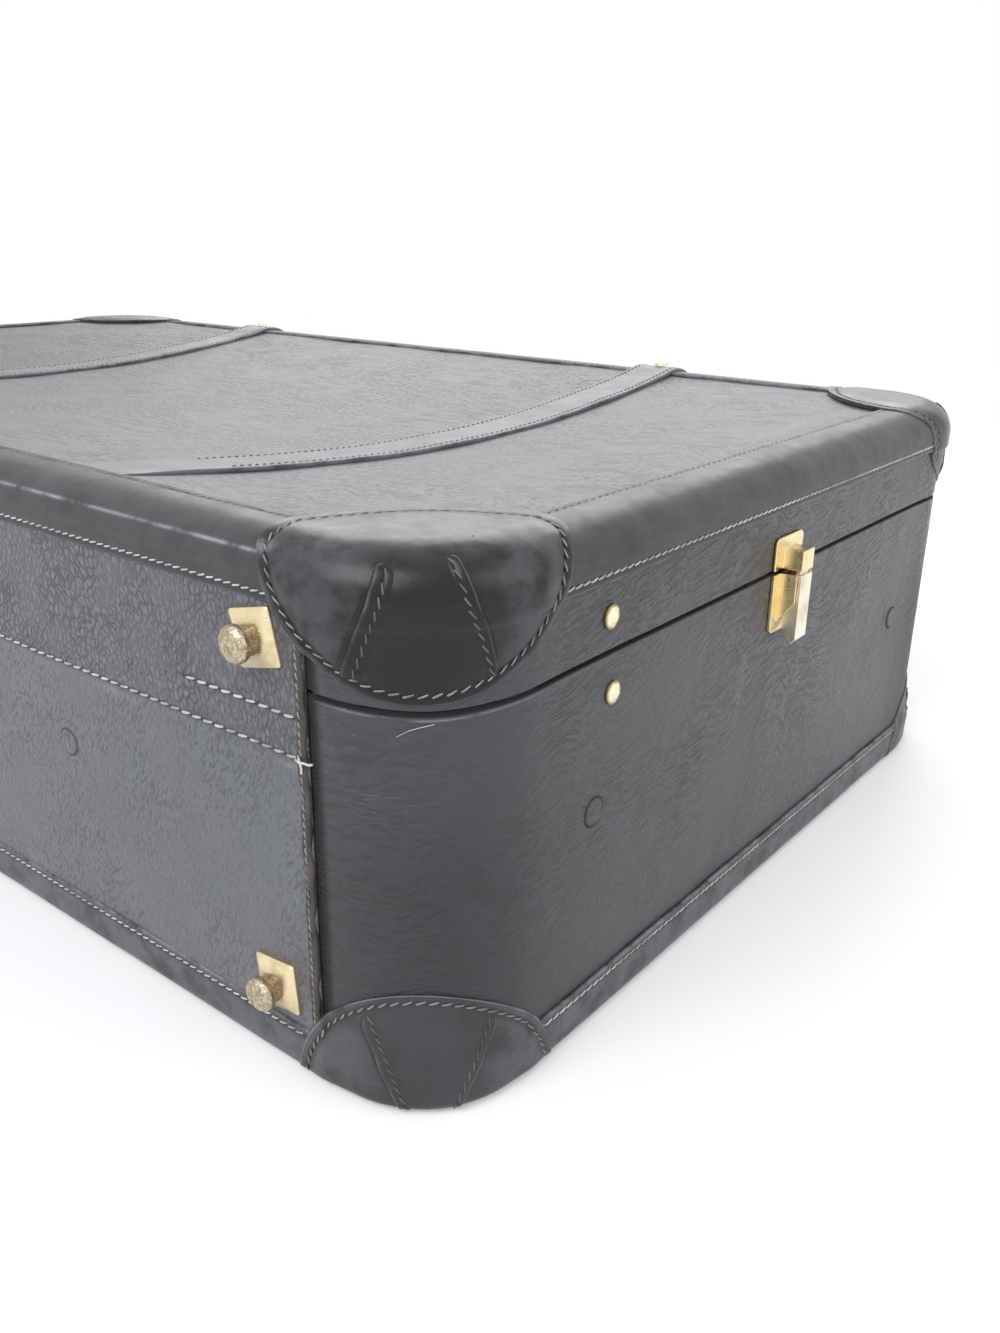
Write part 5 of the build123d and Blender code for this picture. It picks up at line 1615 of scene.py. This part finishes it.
def softened(node, material, width):
    """A copy of a node's mesh with its flats joined and its edges rounded, in place of the node."""
    edge_angle = math.radians(35)
    source = frame["nodes"][node]
    mesh = source.data.copy()
    tidy = bmesh.new()
    tidy.from_mesh(mesh)
    bmesh.ops.remove_doubles(tidy, verts=tidy.verts, dist=1e-6)
    bmesh.ops.dissolve_limit(tidy, angle_limit=math.radians(1), verts=tidy.verts, edges=tidy.edges)
    tidy.to_mesh(mesh)
    tidy.free()
    mesh.materials.clear()
    mesh.materials.append(finish(material))
    mesh.shade_smooth()
    mesh.set_sharp_from_angle(angle=edge_angle)
    piece = added(f"{node}_metal", mesh)
    finished_with(piece, "BEVEL", width=width, segments=2, limit_method="ANGLE", angle_limit=edge_angle,
                  harden_normals=True)
    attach(piece, source["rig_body"])
    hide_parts(node)


def build_fittings():
    """The brass fittings, on the solids' own shapes."""
    clasps = {"clasp_plate": "gilt_brass", "clasp_lever": "pale_brass", "clasp_keeper": "gilt_brass"}
    for pair, metal in clasps.items():
        for side in SIDES:
            softened(f"{pair}_{side}", metal, 0.45 * MM)
    for pair in ("lock_case", "lock_button", "hasp_plate", "hasp", "handle_bracket", "handle_fitting"):
        for side in SIDES:
            softened(f"{pair}_{side}", "bright_brass", 0.35 * MM)
    dress("gilt_brass", "clasp_pins", "strap_rivets")
    dress("bright_brass", "hasp_pins", "handle_pins", "base_stay_posts", "lid_stay_posts",
          "lid_stay_link_left", "lid_stay_link_right", "base_stay_link_left", "base_stay_link_right")


def dress(material, *nodes):
    """Gives nodes' own meshes a finish."""
    for node in nodes:
        mesh = frame["nodes"][node].data
        mesh.materials.clear()
        mesh.materials.append(finish(material))


def build_interior():
    """Boards, linings, the tongue and the underside keep their solids."""
    dress("pressed_board", "base_shell", "lid_shell")
    dress("woven_cotton", "base_lining", "lid_lining", "rim_tongue")
    dress("wall_leather", "bottom_panel")


def build_handle():
    """The leather grip: a swelling roll between its two collars, sewn along its inner side."""
    low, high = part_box("handle_grip")
    collars = [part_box(f"handle_fitting_{side}") for side in SIDES]
    seat = (abs(collars[0][0].x), abs(collars[0][1].x))
    outer, inner = max(seat), min(seat)
    end = high.x
    axis_y = (low.y + high.y) / 2
    axis_z = (low.z + high.z) / 2
    full = (high.z - low.z) / 2
    seat_radius = 0.7 * full
    end_radius = 0.85 * full
    swelling = np.linspace(-inner, inner, 60)[1:-1]
    near_x = np.array([-end, -end, -end + 1 * MM, -outer, -outer, -inner, -inner])
    near_radius = [0, end_radius - 1 * MM, end_radius, end_radius, seat_radius, seat_radius, end_radius]

    def grip_radius(x):
        return end_radius + (full - end_radius) * (1 - (x / inner) ** 2)

    x = np.concatenate([near_x, swelling, -near_x[::-1]])
    radius = np.concatenate([near_radius, grip_radius(swelling), near_radius[::-1]])
    grid = turned(np.column_stack([radius, x]), 40, (0, axis_y, axis_z), (1, 0, 0), (0, 0, 1))
    piece = surface("handle_grip_leather", grid, "trim_leather", "handle",
                    wrap=(True, False), merge=True)
    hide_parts("handle_grip")
    row = np.linspace(-inner + 4 * MM, inner - 4 * MM, 80)
    points = points_at(row, axis_y, axis_z - grip_radius(row))
    pitch = stitching().strap_pitch
    spots = spaced(points, np.broadcast_to([0.0, 0.0, -1.0], points.shape), pitch)
    stitches("handle_stitches", spots, 0.62 * pitch, "light_thread", "handle", stitching().thread)


def softbox(name, place, target, size, power):
    """A soft area lamp that looks at a target."""
    lamp = bpy.data.lights.new(name, "AREA")
    lamp.shape = "RECTANGLE"
    lamp.size, lamp.size_y = size
    lamp.energy = power
    facing = (Vector(target) - Vector(place)).to_track_quat("-Z", "Y")
    added(name, lamp).matrix_world = Matrix.Translation(place) @ facing.to_matrix().to_4x4()


def build_camera():
    """The photograph's viewpoint: a little above the lid, looking at the back left corner."""
    place = (-0.5833, 0.4464, 0.2892)
    lens = bpy.data.cameras.new("viewpoint")
    lens.lens = 31.19
    lens.clip_start = 0.01
    forward = Vector((0.5768, -0.7311, -0.3645)).normalized()
    right = forward.cross(Vector((0, 0, 1))).normalized()
    up = right.cross(forward)
    roll = math.radians(0.79)
    tilted_right = math.cos(roll) * right + math.sin(roll) * up
    tilted_up = math.cos(roll) * up - math.sin(roll) * right
    turn = Matrix((tilted_right, tilted_up, -forward)).transposed().to_4x4()
    camera = added("viewpoint", lens)
    camera.matrix_world = Matrix.Translation(place) @ turn
    bpy.context.scene.camera = camera


def floor_paint():
    """A pale floor that keeps the shadow near the case, and that is seen as plain white further off."""
    floor = Finish("floor_paint")
    seen = floor.seen()
    distance = floor.filled("ShaderNodeVectorMath", "Value", {"operation": "LENGTH"}, Vector=floor.place)
    glow = floor.filled("ShaderNodeEmission", "Emission", Color=(1, 1, 1, 1),
                        Strength=floor.times(seen, 0.22))
    near = floor.add("ShaderNodeAddShader")
    floor.put(near.inputs[0], floor.shader.outputs["BSDF"])
    floor.put(near.inputs[1], glow)
    white = floor.filled("ShaderNodeEmission", "Emission", Color=(1, 1, 1, 1), Strength=1.0)
    blend = floor.add("ShaderNodeMixShader")
    floor.put(blend.inputs[0], floor.times(seen, floor.fade(distance, 0.75, 1.5)))
    floor.put(blend.inputs[1], near.outputs[0])
    floor.put(blend.inputs[2], white)
    floor.put(floor.nodes["Material Output"].inputs["Surface"], blend.outputs[0])
    return floor.done(tuple(colours().floor), 0.6, Specular_IOR_Level=0.2)


def build_stage():
    """A white floor that keeps the shadow, a white surround, soft lamps and the camera."""
    build_camera()
    mesh = bpy.data.meshes.new("floor")
    reach = 12.0
    corners = [(-reach, -reach, 0), (reach, -reach, 0), (reach, reach, 0), (-reach, reach, 0)]
    mesh.from_pydata(corners, [], [(0, 1, 2, 3)])
    mesh.materials.append(floor_paint())
    added("floor", mesh)

    world = bpy.data.worlds.new("surround")
    world.use_nodes = True
    bpy.context.scene.world = world
    surround = Nodes(world.node_tree)
    background = surround.nodes["Background"].inputs
    seen = surround.seen()
    surround.put(background["Color"], surround.mixed(seen, (0.94, 0.965, 1.0), (1.0, 1.0, 1.0)))
    surround.put(background["Strength"], surround.filled(
        "ShaderNodeMapRange", 0, Value=seen, To_Min=0.55, To_Max=1.0))

    middle = (-0.2, 0.1, 0.1)
    softbox("key_softbox", (-0.3, 2.0, 2.1), middle, (2.0, 1.6), 42)
    softbox("fill_softbox", (-2.4, -0.4, 1.5), middle, (1.6, 1.6), 12)
    softbox("far_softbox", (1.3, -2.2, 1.7), middle, (2.6, 1.6), 30)
    bpy.context.scene.view_settings.view_transform = "Standard"


class Build:
    """What the suitcase's operators share."""
    bl_options = {"REGISTER", "UNDO"}


class SUITCASE_OT_stage(Build, bpy.types.Operator):
    """Sets the floor, the lamps and the camera"""
    bl_idname = "suitcase.stage"
    bl_label = "Stage"

    def execute(self, context):
        build_stage()
        return {"FINISHED"}


class SUITCASE_OT_walls(Build, bpy.types.Operator):
    """Covers the walls of base and lid"""
    bl_idname = "suitcase.walls"
    bl_label = "Walls"

    def execute(self, context):
        build_walls()
        return {"FINISHED"}


class SUITCASE_OT_back_panel(Build, bpy.types.Operator):
    """Lays the leather hinge over the back"""
    bl_idname = "suitcase.back_panel"
    bl_label = "Back panel"

    def execute(self, context):
        build_back_panel()
        return {"FINISHED"}


class SUITCASE_OT_lid_top(Build, bpy.types.Operator):
    """Covers the lid's sagging top"""
    bl_idname = "suitcase.lid_top"
    bl_label = "Lid top"

    def execute(self, context):
        build_lid_top()
        return {"FINISHED"}


class SUITCASE_OT_bindings(Build, bpy.types.Operator):
    """Binds the top and bottom edges"""
    bl_idname = "suitcase.bindings"
    bl_label = "Bindings"

    def execute(self, context):
        build_bindings()
        return {"FINISHED"}


class SUITCASE_OT_corner_caps(Build, bpy.types.Operator):
    """Puts the eight corner caps on, with their darts"""
    bl_idname = "suitcase.corner_caps"
    bl_label = "Corner caps"

    def execute(self, context):
        build_corner_caps()
        build_darts()
        return {"FINISHED"}


class SUITCASE_OT_straps(Build, bpy.types.Operator):
    """Lays the two straps over the lid"""
    bl_idname = "suitcase.straps"
    bl_label = "Straps"

    def execute(self, context):
        build_straps()
        return {"FINISHED"}


class SUITCASE_OT_stitching(Build, bpy.types.Operator):
    """Sews every row of stitches"""
    bl_idname = "suitcase.stitching"
    bl_label = "Stitching"

    def execute(self, context):
        build_stitching()
        return {"FINISHED"}


class SUITCASE_OT_covered_rivets(Build, bpy.types.Operator):
    """Presses the covered rivet heads through the leather"""
    bl_idname = "suitcase.covered_rivets"
    bl_label = "Covered rivets"

    def execute(self, context):
        build_covered_rivets()
        return {"FINISHED"}


class SUITCASE_OT_fittings(Build, bpy.types.Operator):
    """Finishes the brass feet, clasps, locks, rivets and stays"""
    bl_idname = "suitcase.fittings"
    bl_label = "Fittings"

    def execute(self, context):
        build_feet()
        build_stay_rivets()
        build_fittings()
        return {"FINISHED"}


class SUITCASE_OT_handle(Build, bpy.types.Operator):
    """Makes the handle's leather grip"""
    bl_idname = "suitcase.handle"
    bl_label = "Handle"

    def execute(self, context):
        build_handle()
        return {"FINISHED"}


class SUITCASE_OT_interior(Build, bpy.types.Operator):
    """Finishes the boards, linings and underside"""
    bl_idname = "suitcase.interior"
    bl_label = "Interior"

    def execute(self, context):
        build_interior()
        return {"FINISHED"}


OPERATORS = (
    SUITCASE_OT_stage,
    SUITCASE_OT_walls,
    SUITCASE_OT_back_panel,
    SUITCASE_OT_lid_top,
    SUITCASE_OT_bindings,
    SUITCASE_OT_corner_caps,
    SUITCASE_OT_straps,
    SUITCASE_OT_stitching,
    SUITCASE_OT_covered_rivets,
    SUITCASE_OT_fittings,
    SUITCASE_OT_handle,
    SUITCASE_OT_interior,
)


class SUITCASE_PT_pieces(bpy.types.Panel):
    """Lists the suitcase's pieces"""
    bl_idname = "SUITCASE_PT_pieces"
    bl_label = "Suitcase"
    bl_space_type = "VIEW_3D"
    bl_region_type = "UI"
    bl_category = "Suitcase"

    def draw(self, context):
        for operator in OPERATORS:
            self.layout.operator(operator.bl_idname)


GROUPS = {
    "suitcase_shape": SuitcaseShape,
    "suitcase_stitching": SuitcaseStitching,
    "suitcase_colours": SuitcaseColours,
}
CLASSES = (*GROUPS.values(), *OPERATORS, SUITCASE_PT_pieces)


def register():
    """Adds the sizes, the operators and the panel."""
    for kind in CLASSES:
        bpy.utils.register_class(kind)
    for name, kind in GROUPS.items():
        setattr(bpy.types.Scene, name, PointerProperty(type=kind))


def unregister():
    """Takes them away again."""
    for name in GROUPS:
        delattr(bpy.types.Scene, name)
    for kind in reversed(CLASSES):
        bpy.utils.unregister_class(kind)


def main():
    """Builds everything in order."""
    register()
    bpy.ops.suitcase.stage()
    bpy.ops.suitcase.walls()
    bpy.ops.suitcase.back_panel()
    bpy.ops.suitcase.lid_top()
    bpy.ops.suitcase.bindings()
    bpy.ops.suitcase.corner_caps()
    bpy.ops.suitcase.straps()
    bpy.ops.suitcase.stitching()
    bpy.ops.suitcase.covered_rivets()
    bpy.ops.suitcase.fittings()
    bpy.ops.suitcase.handle()
    bpy.ops.suitcase.interior()


if __name__ == "__main__":
    main()
